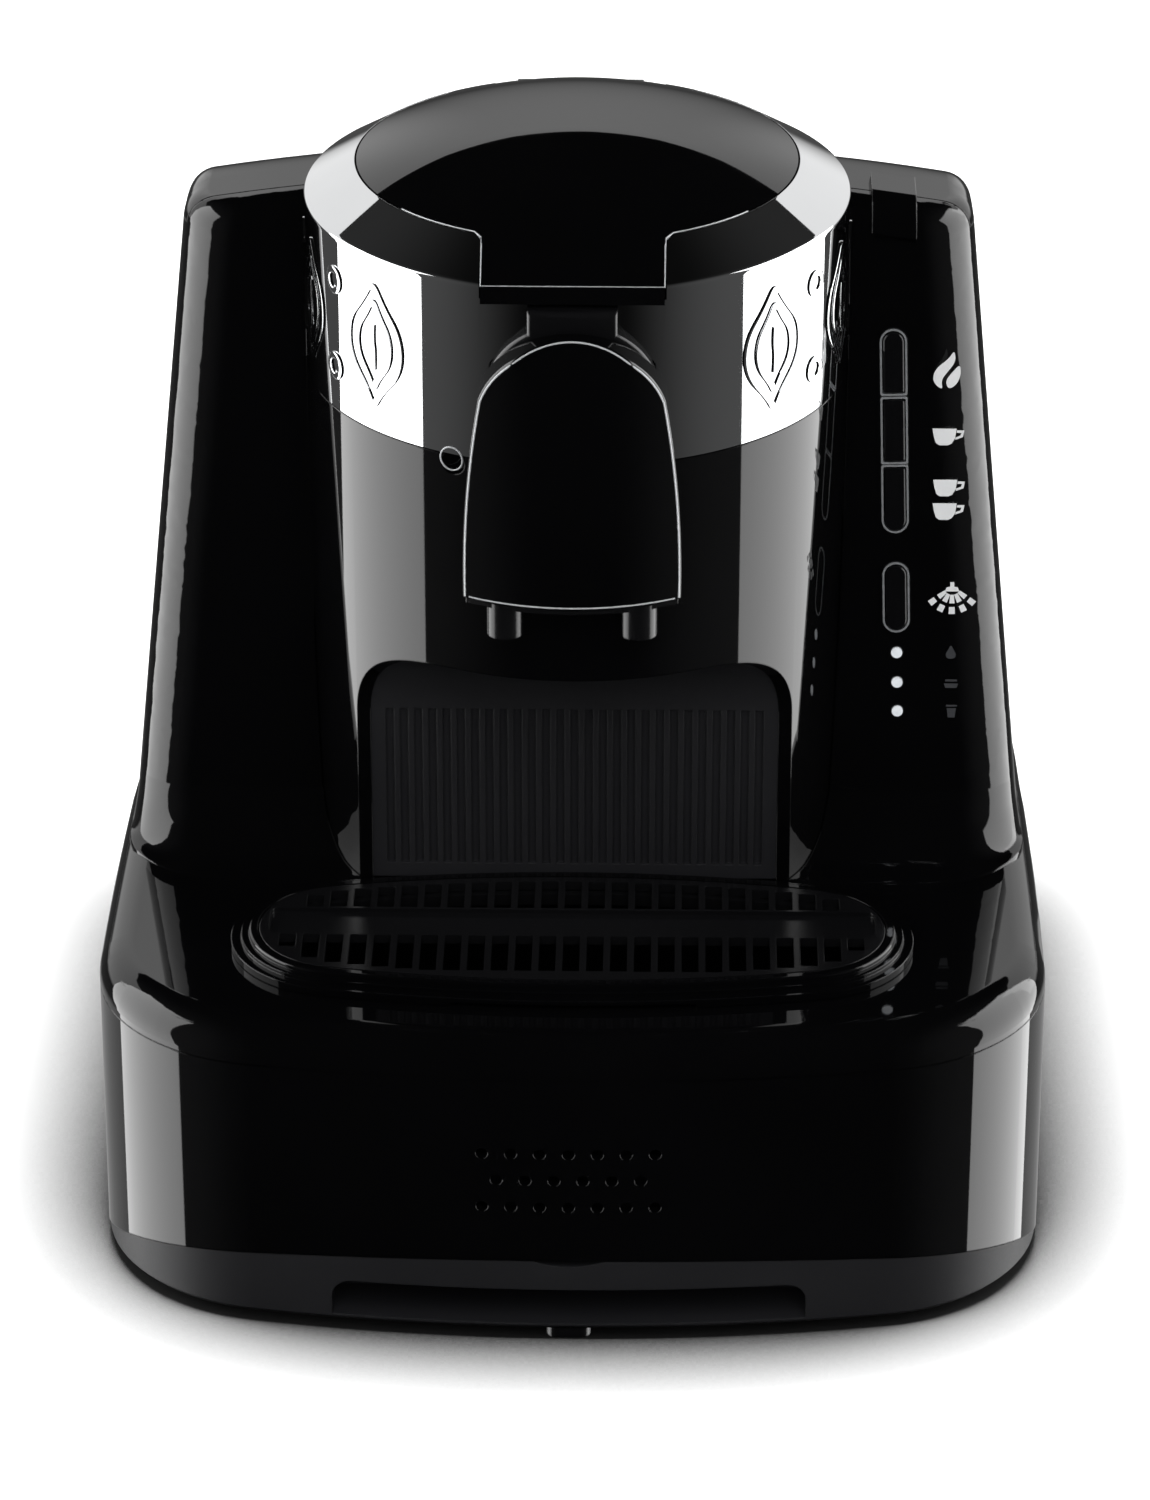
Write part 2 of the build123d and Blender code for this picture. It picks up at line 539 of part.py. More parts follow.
with BuildPart() as pot_collar:
    # black seat between the crown ring and the brewing pot
    with BuildSketch(Plane.XZ):
        with BuildLine():
            Polyline((41.6, top - 12.6), (60.0, top - 12.6), (60.0, top - 14.8), (38.9, top - 14.8),
                     (38.9, top - 11.0), (41.6, top - 10.0), (41.6, top - 12.6))
        make_face()
    revolve(axis=Axis.Z)
    with Locations((0, 0, top - 14.8)):
        Cylinder(60.0, 2.2, align=(Align.CENTER, Align.CENTER, Align.MIN))
        Cylinder(38.9, 2.2, align=(Align.CENTER, Align.CENTER, Align.MIN), mode=Mode.SUBTRACT)
    # fixed middle knuckle of the lid's hinge
    with Locations((0, HINGE_Y, top - 12.7)):
        Box(14, 2 * KNUCKLE_R, HINGE_Z - top + 12.7, align=(Align.CENTER, Align.CENTER, Align.MIN))
    with Locations((0, HINGE_Y, HINGE_Z)):
        Cylinder(KNUCKLE_R, 14, rotation=(0, 90, 0))
        Cylinder(LID_PIN_R + BORE_FIT, 14, rotation=(0, 90, 0), mode=Mode.SUBTRACT)
pot_collar.part.label = "pot_collar"
export_step(pot_collar.part, "parts/pot_collar.step")

with BuildPart() as lid_pin:
    with Locations((0, HINGE_Y, HINGE_Z)):
        Cylinder(LID_PIN_R, 30, rotation=(0, 90, 0))
lid_pin.part.label = "lid_pin"
export_step(lid_pin.part, "parts/lid_pin.step")

# ---------------------------------------------------------------- dome lid
DOME_H = LID_APEX_Z - LID_SEAM_Z
DOME_R = (LID_R**2 + DOME_H**2) / (2 * DOME_H)
DOME_C = LID_APEX_Z - DOME_R


def dome_z(r: float, inset: float = 0.0) -> float:
    """Height of the dome's surface at a radius."""
    return DOME_C + sqrt((DOME_R - inset) ** 2 - r * r)


LID_T = 2.4
RIM_BOT = LID_SEAM_Z - 3.2
with BuildPart() as lid:
    with BuildSketch(Plane.XZ):
        with BuildLine():
            ThreePointArc((0, LID_APEX_Z), (LID_R / 2, dome_z(LID_R / 2)), (LID_R, LID_SEAM_Z))
            Polyline((LID_R, LID_SEAM_Z), (LID_R, LID_SEAM_Z - 0.5), (LID_R - 1.6, RIM_BOT),
                     (LID_R - LID_T, RIM_BOT), (LID_R - LID_T, dome_z(LID_R - LID_T, LID_T)))
            ThreePointArc((LID_R - LID_T, dome_z(LID_R - LID_T, LID_T)),
                          (LID_R / 2, dome_z(LID_R / 2, LID_T)), (0, LID_APEX_Z - LID_T))
            Line((0, LID_APEX_Z - LID_T), (0, LID_APEX_Z))
        make_face()
    revolve(axis=Axis.Z)
    # grip tongue that lies over the ring's shoulder
    with BuildSketch(Plane.YZ) as tongue:
        with BuildLine():
            Polyline((-(LID_R - 3.0), dome_z(LID_R - 3.0) - 0.1), (-(LID_R - 0.2), LID_SEAM_Z + 0.05),
                     (-(RING_R - 0.6), RING_TOP + 0.75), (-(RING_R + 1.6), RING_TOP - 1.4),
                     (-(RING_R + 1.9), RING_TOP - 2.3), (-(RING_R - 0.6), RING_TOP - 2.3),
                     (-(RING_R - 2.6), RING_TOP - 1.0), (-(LID_R - 3.0), RIM_BOT),
                     (-(LID_R - 3.0), dome_z(LID_R - 3.0) - 0.1))
        make_face()
    extrude(amount=TONGUE_X, both=True)
    # hinge lugs at the back
    for sx in (-1, 1):
        with BuildSketch(Plane.YZ.offset(sx * 7.4)):
            with BuildLine():
                Polyline((HINGE_Y, HINGE_Z - KNUCKLE_R), (HINGE_Y - 8, RIM_BOT + 0.2),
                         (HINGE_Y - 8, LID_SEAM_Z), (HINGE_Y - 3.6, LID_SEAM_Z - 0.3),
                         (HINGE_Y, HINGE_Z + KNUCKLE_R), (HINGE_Y, HINGE_Z - KNUCKLE_R))
            make_face()
            with Locations((HINGE_Y, HINGE_Z)):
                Circle(KNUCKLE_R)
        extrude(amount=sx * 7.4)
    with Locations((0, HINGE_Y, HINGE_Z)):
        Cylinder(LID_PIN_R + BORE_FIT, 40, rotation=(0, 90, 0), mode=Mode.SUBTRACT)
lid.part.label = "lid"
export_step(lid.part, "parts/lid.step")

with BuildPart() as lid_liner:
    # steel splash plate under the dome
    with BuildSketch(Plane.XZ):
        with BuildLine():
            Polyline((0, top - 1.4), (36, top - 1.4), (38, top - 3.4), (45.5, top - 3.4), (45.5, top - 2.6),
                     (38.6, top - 2.6), (36.6, top - 0.6), (0, top - 0.6), (0, top - 1.4))
        make_face()
    revolve(axis=Axis.Z)
    with Locations((0, 0, top - 0.6)):
        Cylinder(4, dome_z(4, LID_T) - top + 0.6 - 0.2, align=(Align.CENTER, Align.CENTER, Align.MIN))
lid_liner.part.label = "lid_liner"
export_step(lid_liner.part, "parts/lid_liner.step")

with BuildPart() as lid_gasket:
    # lip seal round the splash plate
    with BuildSketch(Plane.XZ):
        with BuildLine():
            Polyline((41.4, top - 3.45), (44.6, top - 3.45), (44.6, top - 5.0), (43.6, top - 8.2),
                     (42.6, top - 8.2), (43.0, top - 5.2), (41.4, top - 4.8), (41.4, top - 3.45))
        make_face()
    revolve(axis=Axis.Z)
lid_gasket.part.label = "lid_gasket"
export_step(lid_gasket.part, "parts/lid_gasket.step")

# ---------------------------------------------------------------- brewing pot and heater
with BuildPart() as brew_pot:
    with BuildSketch(Plane.XZ) as pot_sk:
        with BuildLine():
            Polyline((0, 172.0), (33.0, 172.0), (38.6, 184.0), (38.6, top - 9.7), (46.0, top - 9.7),
                     (46.0, top - 8.5), (37.4, top - 8.5), (37.4, 184.4), (32.2, 173.2), (0, 173.2),
                     (0, 172.0))
        make_face()
        fillet(pot_sk.vertices().filter_by(lambda v: v.X > 30 and v.X < 34), 2.0)
    revolve(axis=Axis.Z)
    # outlet neck to the spout
    with Locations((0, -37.9, CHANNEL_Z)):
        Cylinder(4.4, 9, rotation=(90, 0, 0), align=(Align.CENTER, Align.CENTER, Align.MIN))
    with Locations((0, -34, CHANNEL_Z)):
        Cylinder(3.4, 20, rotation=(90, 0, 0), align=(Align.CENTER, Align.CENTER, Align.MIN),
                 mode=Mode.SUBTRACT)
    # level marks pressed into the wall
    for z in (196.0, 212.0):
        with Locations((0, 37.4, z)):
            Box(10, 0.5, 0.8, mode=Mode.SUBTRACT)
brew_pot.part.label = "brew_pot"
export_step(brew_pot.part, "parts/brew_pot.step")

with BuildPart() as heater_plate:
    with Locations((0, 0, 167.0)):
        Cylinder(34, 4.8, align=(Align.CENTER, Align.CENTER, Align.MIN))
    with Locations((0, 0, 167.0)):
        Torus(24, 3.4, mode=Mode.SUBTRACT)
heater_plate.part.label = "heater_plate"
export_step(heater_plate.part, "parts/heater_plate.step")

with BuildPart() as heater_element:
    with BuildLine() as ring_path:
        CenterArc((0, 0, 167.0), 24, 15, 330)
    with BuildSketch(Plane(origin=ring_path.line @ 0, z_dir=ring_path.line % 0)):
        Circle(3.2)
    sweep(path=ring_path.line)
    for t in (0, 1):
        p = ring_path.line @ t
        with Locations((p.X, p.Y, 158)):
            Cylinder(2.0, 9.0, align=(Align.CENTER, Align.CENTER, Align.MIN))
heater_element.part.label = "heater_element"
export_step(heater_element.part, "parts/heater_element.step")

with BuildPart() as thermostat:
    with Locations((0, 0, 160.0)):
        Cylinder(8, 6.9, align=(Align.CENTER, Align.CENTER, Align.MIN))
        with Locations((-11, 0, 2), (11, 0, 2)):
            Box(7, 6.3, 0.8, align=(Align.CENTER, Align.CENTER, Align.MIN))
thermostat.part.label = "thermostat"
export_step(thermostat.part, "parts/thermostat.step")

with BuildPart() as pot_cradle:
    # heat-proof cup that holds pot and heater in the column
    with BuildSketch(Plane.XZ):
        with BuildLine():
            Polyline((30.0, 152.0), (59.2, 152.0), (59.2, top - 15.0), (57.4, top - 15.0), (57.4, 155.0),
                     (34.6, 155.0), (34.6, 165.0), (32.4, 165.0), (32.4, 155.0), (30.0, 155.0), (30.0, 152.0))
        make_face()
    revolve(axis=Axis.Z)
    with Locations((0, -58, CHANNEL_Z)):
        Cylinder(6.0, 20, rotation=(90, 0, 0), mode=Mode.SUBTRACT)
pot_cradle.part.label = "pot_cradle"
export_step(pot_cradle.part, "parts/pot_cradle.step")

# ---------------------------------------------------------------- spout
with BuildPart() as spout_collar:
    # arched collar behind the shield, with a neck that rises to the tongue
    with BuildSketch(Plane.XZ.offset(55)):
        collar_outline(0)
        with Locations((0, COLLAR_SPRING)):
            Rectangle(20, RING_TOP - 3.3 - COLLAR_SPRING, align=(Align.CENTER, Align.MIN))
    extrude(amount=13.0)
    with Locations((0, 0, 160)):
        Cylinder(RING_R + 0.1, 120, align=(Align.CENTER, Align.CENTER, Align.MIN), mode=Mode.SUBTRACT)
    # bowed nose of the collar
    with Locations((0, SPOUT_Y + SPOUT_FRONT_R, 160)):
        Cylinder(COLLAR_FRONT_R, 120, align=(Align.CENTER, Align.CENTER, Align.MIN), mode=Mode.INTERSECT)
    nose = spout_collar.faces().sort_by(Axis.Y)[0].edges()
    fillet(nose.filter_by(lambda e: e.center().Z > COLLAR_BOT + 1), 1.2)
    with Locations((0, -60, CHANNEL_Z)):
        Cylinder(5.6, 30, rotation=(90, 0, 0), mode=Mode.SUBTRACT)
spout_collar.part.label = "spout_collar"
export_step(spout_collar.part, "parts/spout_collar.step")

PLATE_T = 1.3                  # plate that closes the shield from below
with BuildPart() as spout_channel:
    # coffee way from the pot to the two nozzles
    for half, front_r, back_r, z0, z1 in (
        (SPOUT_X - 0.6, SPOUT_FRONT_R - 0.6, RING_R + 0.9, SPOUT_BOT - 0.3 - PLATE_T, SPOUT_BOT - 0.3),
        (19.0, SPOUT_FRONT_R - 2.3, RING_R + 1.0, SPOUT_BOT - 0.3, SPOUT_BOT + 7.5),
        (5.5, SPOUT_FRONT_R - 2.8, 67.6, SPOUT_BOT + 7.5, CHANNEL_Z + 4.4),
    ):
        with BuildSketch(Plane.XY.offset(z0)):
            with Locations((0, SPOUT_Y + SPOUT_FRONT_R)):
                Circle(front_r)
            with Locations((0, -70)):
                Rectangle(2 * half, 40, mode=Mode.INTERSECT)
            Circle(back_r, mode=Mode.SUBTRACT)
        extrude(amount=z1 - z0)
    with Locations((0, -47.2, CHANNEL_Z)):
        Cylinder(5.2, 21.2, rotation=(90, 0, 0), align=(Align.CENTER, Align.CENTER, Align.MIN))
    with Locations(*[(sx * NOZZLE_X, NOZZLE_Y, NOZZLE_Z) for sx in (-1, 1)]):
        Cylinder(NOZZLE_R, SPOUT_BOT - NOZZLE_Z - 0.5, align=(Align.CENTER, Align.CENTER, Align.MIN))
        Cylinder(2.6, 12, align=(Align.CENTER, Align.CENTER, Align.MIN), mode=Mode.SUBTRACT)
    with Locations((0, NOZZLE_Y - 0.3, SPOUT_BOT + 2.4)):
        Box(2 * NOZZLE_X, 3.4, 3.0, mode=Mode.SUBTRACT)
    with Locations((0, NOZZLE_Y - 1.9, SPOUT_BOT + 2)):
        Cylinder(1.7, 45.5, align=(Align.CENTER, Align.CENTER, Align.MIN), mode=Mode.SUBTRACT)
    with Locations((0, -47.0, CHANNEL_Z)):
        Cylinder(2.6, 22.4, rotation=(90, 0, 0), align=(Align.CENTER, Align.CENTER, Align.MIN),
                 mode=Mode.SUBTRACT)
spout_channel.part.label = "spout_channel"
export_step(spout_channel.part, "parts/spout_channel.step")

with BuildPart() as spout_shield:
    # bowed cover that pulls off forward
    with BuildSketch(Plane.XZ.offset(50)):
        shield_outline(0, SPOUT_BOT)
    extrude(amount=40)
    with Locations((0, SPOUT_Y + SPOUT_FRONT_R, 100)):
        Cylinder(SPOUT_FRONT_R, 200, align=(Align.CENTER, Align.CENTER, Align.MIN), mode=Mode.INTERSECT)
    # the front rolls back toward the arch
    roll_z, roll_y = SPOUT_TOP - 16, SPOUT_Y + 4.6
    with BuildSketch(Plane.YZ):
        with BuildLine():
            Polyline((SPOUT_Y - 5, roll_z), (SPOUT_Y, roll_z))
            ThreePointArc((SPOUT_Y, roll_z), (SPOUT_Y + 1.1, roll_z + 8.4), (roll_y, SPOUT_TOP + 0.5))
            Polyline((roll_y, SPOUT_TOP + 0.5), (roll_y, SPOUT_TOP + 6), (SPOUT_Y - 5, SPOUT_TOP + 6),
                     (SPOUT_Y - 5, roll_z))
        make_face()
    extrude(amount=40, both=True, mode=Mode.SUBTRACT)
    # soft edge all round the arch
    front = spout_shield.faces().sort_by(Axis.Y)[:2]
    arris = front[0].edges() + front[1].edges()
    fillet([e for e in arris if abs(e.center().X) > 1 and e.center().Z > SPOUT_BOT + 1], 1.0)
    # hollow, open to the back and below
    with BuildPart(mode=Mode.PRIVATE) as cavity:
        with BuildSketch(Plane.XZ.offset(40)):
            shield_outline(SPOUT_T, SPOUT_BOT - 3)
        extrude(amount=60)
        with Locations((0, SPOUT_Y + SPOUT_FRONT_R, 100)):
            Cylinder(SPOUT_FRONT_R - SPOUT_T, 200, align=(Align.CENTER, Align.CENTER, Align.MIN),
                     mode=Mode.INTERSECT)
        with Locations((0, SPOUT_Y + 6.6, SPOUT_TOP - 12.4)):
            Box(80, 20, 20, align=(Align.CENTER, Align.MAX, Align.MIN), mode=Mode.SUBTRACT)
    add(cavity.part, mode=Mode.SUBTRACT)
    # back edge follows the column and the collar
    with Locations((0, 0, 150)):
        Cylinder(RING_R + MOVE, 120, align=(Align.CENTER, Align.CENTER, Align.MIN), mode=Mode.SUBTRACT)
    with BuildPart(mode=Mode.PRIVATE) as collar_space:
        with BuildSketch(Plane.XZ.offset(50)):
            collar_outline(MOVE)
        extrude(amount=30)
        with Locations((0, SPOUT_Y + SPOUT_FRONT_R, 150)):
            Cylinder(COLLAR_FRONT_R + MOVE, 120, align=(Align.CENTER, Align.CENTER, Align.MIN),
                     mode=Mode.INTERSECT)
    add(collar_space.part, mode=Mode.SUBTRACT)
spout_shield.part.label = "spout_shield"
export_step(spout_shield.part, "parts/spout_shield.step")

# ---------------------------------------------------------------- drip tray and grate
with BuildPart() as drip_tray:
    # stepped rim on the deck and a tub below it
    for z, height, inset in ((0.1, 1.9, 0), (1.9, 1.1, 2.4), (2.9, 1.3, 4.2)):
        with BuildSketch(Plane.XY.offset(DECK_Z + z)):
            tray_outline(inset)
        extrude(amount=height)
    fillet(drip_tray.edges().group_by(Axis.Z)[-1], 0.6)
    with BuildSketch(Plane.XY.offset(DECK_Z + 0.2)):
        tray_outline(4.0 + MOVE)
    with BuildSketch(Plane.XY.offset(DECK_Z - TRAY_DEPTH)):
        tray_outline(7.0)
    loft(ruled=True)
    # inside
    with BuildSketch(Plane.XY.offset(DECK_Z + 1.6)):
        tray_outline(6.2)
    extrude(amount=6, mode=Mode.SUBTRACT)
    with BuildSketch(Plane.XY.offset(DECK_Z + 1.7)):
        tray_outline(8.2)
    with BuildSketch(Plane.XY.offset(DECK_Z - TRAY_DEPTH + 2.0)):
        tray_outline(9.4)
    loft(ruled=True, mode=Mode.SUBTRACT)
    # thumb notch under the front edge
    with BuildSketch(Plane.XZ.offset(-TRAY_Y + TRAY_RY + 1)):
        with Locations((0.6, DECK_Z + 0.1)):
            SlotOverall(56, 2.0)
    extrude(amount=-3.4, mode=Mode.SUBTRACT)
drip_tray.part.label = "drip_tray"
export_step(drip_tray.part, "parts/drip_tray.step")

with BuildPart() as drip_grate:
    top_z = DECK_Z + 4.2
    with BuildSketch(Plane.XY.offset(DECK_Z + 1.9)):
        tray_outline(6.2 + MOVE)
    extrude(amount=top_z - DECK_Z - 1.9)
    # sunk cross band between the two rows of slots
    with BuildSketch(Plane.XY.offset(top_z - 1.2)):
        with Locations((0, (BAND_Y[0] + BAND_Y[1]) / 2)):
            RectangleRounded(2 * GRATE_X, BAND_Y[1] - BAND_Y[0] - 1.6, 2.0)
    extrude(amount=3, mode=Mode.SUBTRACT)
    # slots that follow the oval
    with BuildSketch(Plane.XY.offset(DECK_Z)):
        for y0, y1 in SLOT_ROWS:
            for i in range(-12, 13):
                x = SLOT_PITCH * i
                reach = tray_reach(abs(x) + SLOT_W / 2, 8.6)
                lo, hi = max(y0, TRAY_Y - reach), min(y1, TRAY_Y + reach)
                if hi - lo > 4.4:
                    with Locations((x, (lo + hi) / 2)):
                        Rectangle(SLOT_W, hi - lo)
    extrude(amount=8, mode=Mode.SUBTRACT)
    # locating lip below the rim
    with BuildSketch(Plane.XY.offset(DECK_Z + 1.9)):
        tray_outline(8.2 + MOVE + 0.3)
    extrude(amount=-3)
    with BuildSketch(Plane.XY.offset(DECK_Z + 1.9)):
        tray_outline(8.2 + MOVE + 1.9)
    extrude(amount=-4, mode=Mode.SUBTRACT)
drip_grate.part.label = "drip_grate"
export_step(drip_grate.part, "parts/drip_grate.step")

# ---------------------------------------------------------------- controls
with BuildPart() as button_bezel:
    # thin bright frames set in the slots
    for kind, bz, bh in BUTTONS:
        with BuildSketch(STRIP.offset(0.35)):
            button_outline(kind, bz, bh, 0.75)
        extrude(amount=-3.6)
    for kind, bz, bh in BUTTONS:
        with BuildSketch(STRIP.offset(1.0)):
            button_outline(kind, bz, bh, 0.3)
        extrude(amount=-8, mode=Mode.SUBTRACT)
button_bezel.part.label = "button_bezel"
export_step(button_bezel.part, "parts/button_bezel.step")

for kind, bz, bh in BUTTONS:
    with BuildPart() as button:
        with BuildSketch(STRIP.offset(0.9)):
            button_outline(kind, bz, bh, 0)
        extrude(amount=-4.9)
        chamfer(button.faces().sort_by(Axis(STRIP.origin, STRIP.z_dir))[-1].edges(), 0.3)
        # flange that keeps the button in its slot
        with BuildSketch(STRIP.offset(-3.7)):
            button_outline(kind, bz, bh, 0.6)
        extrude(amount=-0.8)
        # stem that meets the switch at the end of the travel
        with BuildSketch(STRIP.offset(-4.4)):
            with Locations((0, strip_v(bz))):
                Circle(1.2)
        extrude(amount=-(PLUNGER_DEPTH - PRESS - 0.05 - 4.4))
    button.part.label = "button_" + kind
    export_step(button.part, "parts/button_" + kind + ".step")

with BuildPart() as lamp_lenses:
    for z in LED_Z:
        with BuildSketch(STRIP.offset(0.25)):
            with Locations((0, strip_v(z))):
                Circle(1.3)
        extrude(amount=-5)
lamp_lenses.part.label = "lamp_lenses"
export_step(lamp_lenses.part, "parts/lamp_lenses.step")

with BuildPart() as control_board:
    with BuildSketch(STRIP.offset(-12)):
        with Locations((2.2, strip_v(153))):
            Rectangle(13.6, 104)
    extrude(amount=-1.6)
    # spacers between the board and the shell
    with BuildSketch(STRIP.offset(-12)):
        with Locations(*[(6.4, strip_v(z)) for z in (108, 153, 198)]):
            Circle(2.0)
    extrude(amount=12 - WALL - 0.05)
control_board.part.label = "control_board"
export_step(control_board.part, "parts/control_board.step")

with BuildPart() as push_switches:
    for kind, bz, bh in BUTTONS:
        with BuildSketch(STRIP.offset(-11.95)):
            with Locations((0, strip_v(bz))):
                Rectangle(5.6, 5.6)
        extrude(amount=3.0)
        with BuildSketch(STRIP.offset(-9)):
            with Locations((0, strip_v(bz))):
                Circle(1.4)
        extrude(amount=9 - PLUNGER_DEPTH)
push_switches.part.label = "push_switches"
export_step(push_switches.part, "parts/push_switches.step")

# ---------------------------------------------------------------- water tank
with BuildPart() as tank_bay:
    # walls and floor the tank stands in
    with Locations((0, TANK_Y0 - 2.6, TANK_Z0 - 3.6)):
        Box(2 * (TANK_X + 2.4), REAR_Y - TANK_Y0 + 1.0, 132, align=(Align.CENTER, Align.MIN, Align.MIN))
    with Locations((0, TANK_Y0 - MOVE, TANK_Z0 - MOVE)):
        Box(2 * (TANK_X + MOVE), 80, 200, align=(Align.CENTER, Align.MIN, Align.MIN), mode=Mode.SUBTRACT)
    with Locations((0, 95, TANK_Z0 - 10)):
        Cylinder(9.4, 9.4, align=(Align.CENTER, Align.CENTER, Align.MIN))
        Cylinder(7.4, 30, align=(Align.CENTER, Align.CENTER, Align.MIN), mode=Mode.SUBTRACT)
        Cylinder(9.4, 1.6, align=(Align.CENTER, Align.CENTER, Align.MIN))
        Cylinder(2.4, 30, align=(Align.CENTER, Align.CENTER, Align.MIN), mode=Mode.SUBTRACT)
    add(envelope(WALL + FIT, LID_DROP, 0), mode=Mode.INTERSECT)
tank_bay.part.label = "tank_bay"
export_step(tank_bay.part, "parts/tank_bay.step")

tank_skin = envelope(0.0, LID_DROP + 0.4, 0)
tank_core = envelope(TANK_T, -20.0, 0)
with BuildPart() as tank:
    with Locations((0, TANK_Y0, TANK_Z0)):
        Box(2 * TANK_X, 80, 200, align=(Align.CENTER, Align.MIN, Align.MIN))
    add(tank_skin, mode=Mode.INTERSECT)
    fillet(tank.edges().filter_by(Axis.Z).filter_by(lambda e: e.center().Y < 80), 6)
    with BuildPart(mode=Mode.PRIVATE) as hollow:
        with Locations((0, TANK_Y0 + TANK_T, TANK_Z0 + 2.6)):
            Box(2 * (TANK_X - TANK_T), 80, 200, align=(Align.CENTER, Align.MIN, Align.MIN))
        fillet(hollow.edges().filter_by(Axis.Z).filter_by(lambda e: e.center().Y < 80), 4)
        add(tank_core, mode=Mode.INTERSECT)
    add(hollow.part, mode=Mode.SUBTRACT)
    # ledge that closes the top below the lid's hinge
    with Locations((0, LID_REAR - 3.0, TANK_HINGE_Z - 6.4)):
        Box(2 * TANK_X - 1, REAR_Y - LID_REAR + 2.0, 2.0, align=(Align.CENTER, Align.MIN, Align.MIN))
    # outlet neck in the floor
    with Locations((0, 95, TANK_Z0 - 7.2)):
        Cylinder(6.6, 7.3, align=(Align.CENTER, Align.CENTER, Align.MIN))
    with Locations((0, 95, TANK_Z0 - 8)):
        Cylinder(4.6, 30, align=(Align.CENTER, Align.CENTER, Align.MIN), mode=Mode.SUBTRACT)
    # fixed knuckles of the lid's hinge
    for sx in (-1, 1):
        with Locations((sx * 40, TANK_HINGE_Y, TANK_HINGE_Z)):
            Cylinder(HINGE_R, 11.0, rotation=(0, 90, 0))
        with Locations((sx * 40, TANK_HINGE_Y - 0.4, TANK_HINGE_Z - 9.5)):
            Box(11.0, REAR_Y - TANK_HINGE_Y + 0.2, 9.2, align=(Align.CENTER, Align.MIN, Align.MIN))
        with Locations((sx * 40, TANK_HINGE_Y, TANK_HINGE_Z)):
            Cylinder(TANK_PIN_R + BORE_FIT, 12, rotation=(0, 90, 0), mode=Mode.SUBTRACT)
tank.part.label = "tank"
export_step(tank.part, "parts/tank.step")

with BuildPart() as tank_valve:
    # spring valve in the tank's neck
    with Locations((0, 95, TANK_Z0 - 5.6)):
        Cylinder(4.3, 5.0, align=(Align.CENTER, Align.CENTER, Align.MIN))
        Cylinder(2.0, 12.0, align=(Align.CENTER, Align.CENTER, Align.MIN))
        with Locations((0, 0, 9.4)):
            Cylinder(5.8, 1.4, align=(Align.CENTER, Align.CENTER, Align.MIN))
tank_valve.part.label = "tank_valve"
export_step(tank_valve.part, "parts/tank_valve.step")

lid_inner = envelope(2.2, 0, SHOULDER_R - 2.2)
with BuildPart() as tank_lid:
    add(outer)
    add(under_lid.part, mode=Mode.SUBTRACT)
    add(lid_inner, mode=Mode.SUBTRACT)
    with Locations((0, 0, 150)):
        Cylinder(RING_R + 1.0, 150, align=(Align.CENTER, Align.CENTER, Align.MIN), mode=Mode.SUBTRACT)
    with Locations((0, LID_REAR, 150)):
        Box(300, 60, 150, align=(Align.CENTER, Align.MIN, Align.MIN), mode=Mode.SUBTRACT)
    # hanging rim round the crown ring's cut-out, and walls along the front and back edges
    with BuildPart(mode=Mode.PRIVATE) as rim:
        with Locations((0, 0, 150)):
            Cylinder(RING_R + 3.0, 150, align=(Align.CENTER, Align.CENTER, Align.MIN))
        with Locations((0, LID_REAR, 150)):
            Box(300, 2.0, 150, align=(Align.CENTER, Align.MAX, Align.MIN))
        with Locations((0, LID_FRONT, 150)):
            Box(300, 2.0, 150, align=(Align.CENTER, Align.MIN, Align.MIN))
        with Locations((0, 0, 150)):
            Cylinder(RING_R + 1.0, 150, align=(Align.CENTER, Align.CENTER, Align.MIN), mode=Mode.SUBTRACT)
        add(outer, mode=Mode.INTERSECT)
        add(under_lid.part, mode=Mode.SUBTRACT)
    add(rim.part)
    # moving knuckles of the hinge
    for sx in (-1, 1):
        for off in (-9.2, 9.2):
            with Locations((sx * 40 + off, TANK_HINGE_Y, TANK_HINGE_Z)):
                Cylinder(HINGE_R, 6.6, rotation=(0, 90, 0))
            with Locations((sx * 40 + off, LID_REAR - 1.0, TANK_HINGE_Z + 0.4)):
                Box(6.6, TANK_HINGE_Y - LID_REAR + 1.0, 2.4, align=(Align.CENTER, Align.MIN, Align.MIN))
            with Locations((sx * 40 + off, TANK_HINGE_Y, TANK_HINGE_Z)):
                Cylinder(TANK_PIN_R + BORE_FIT, 12, rotation=(0, 90, 0), mode=Mode.SUBTRACT)
tank_lid.part.label = "tank_lid"
export_step(tank_lid.part, "parts/tank_lid.step")

with BuildPart() as tank_hinge_pins:
    for sx in (-1, 1):
        with Locations((sx * 40, TANK_HINGE_Y, TANK_HINGE_Z)):
            Cylinder(TANK_PIN_R, 26, rotation=(0, 90, 0))
tank_hinge_pins.part.label = "tank_hinge_pins"
export_step(tank_hinge_pins.part, "parts/tank_hinge_pins.step")

TAB_X, TAB_W = 67.6, 10.4      # left edge and width of the tab
TAB_BACK = 21.0                # back edge of the tab, on the lid
TAB_C = shoulder_axis(TAB_X)


def tab_point(radius: float, angle: float) -> tuple:
    """Point round the shoulder's axis, turned upward from the front by an angle in degrees."""
    return TAB_C[0] - radius * cos(radians(angle)), TAB_C[1] + radius * sin(radians(angle))


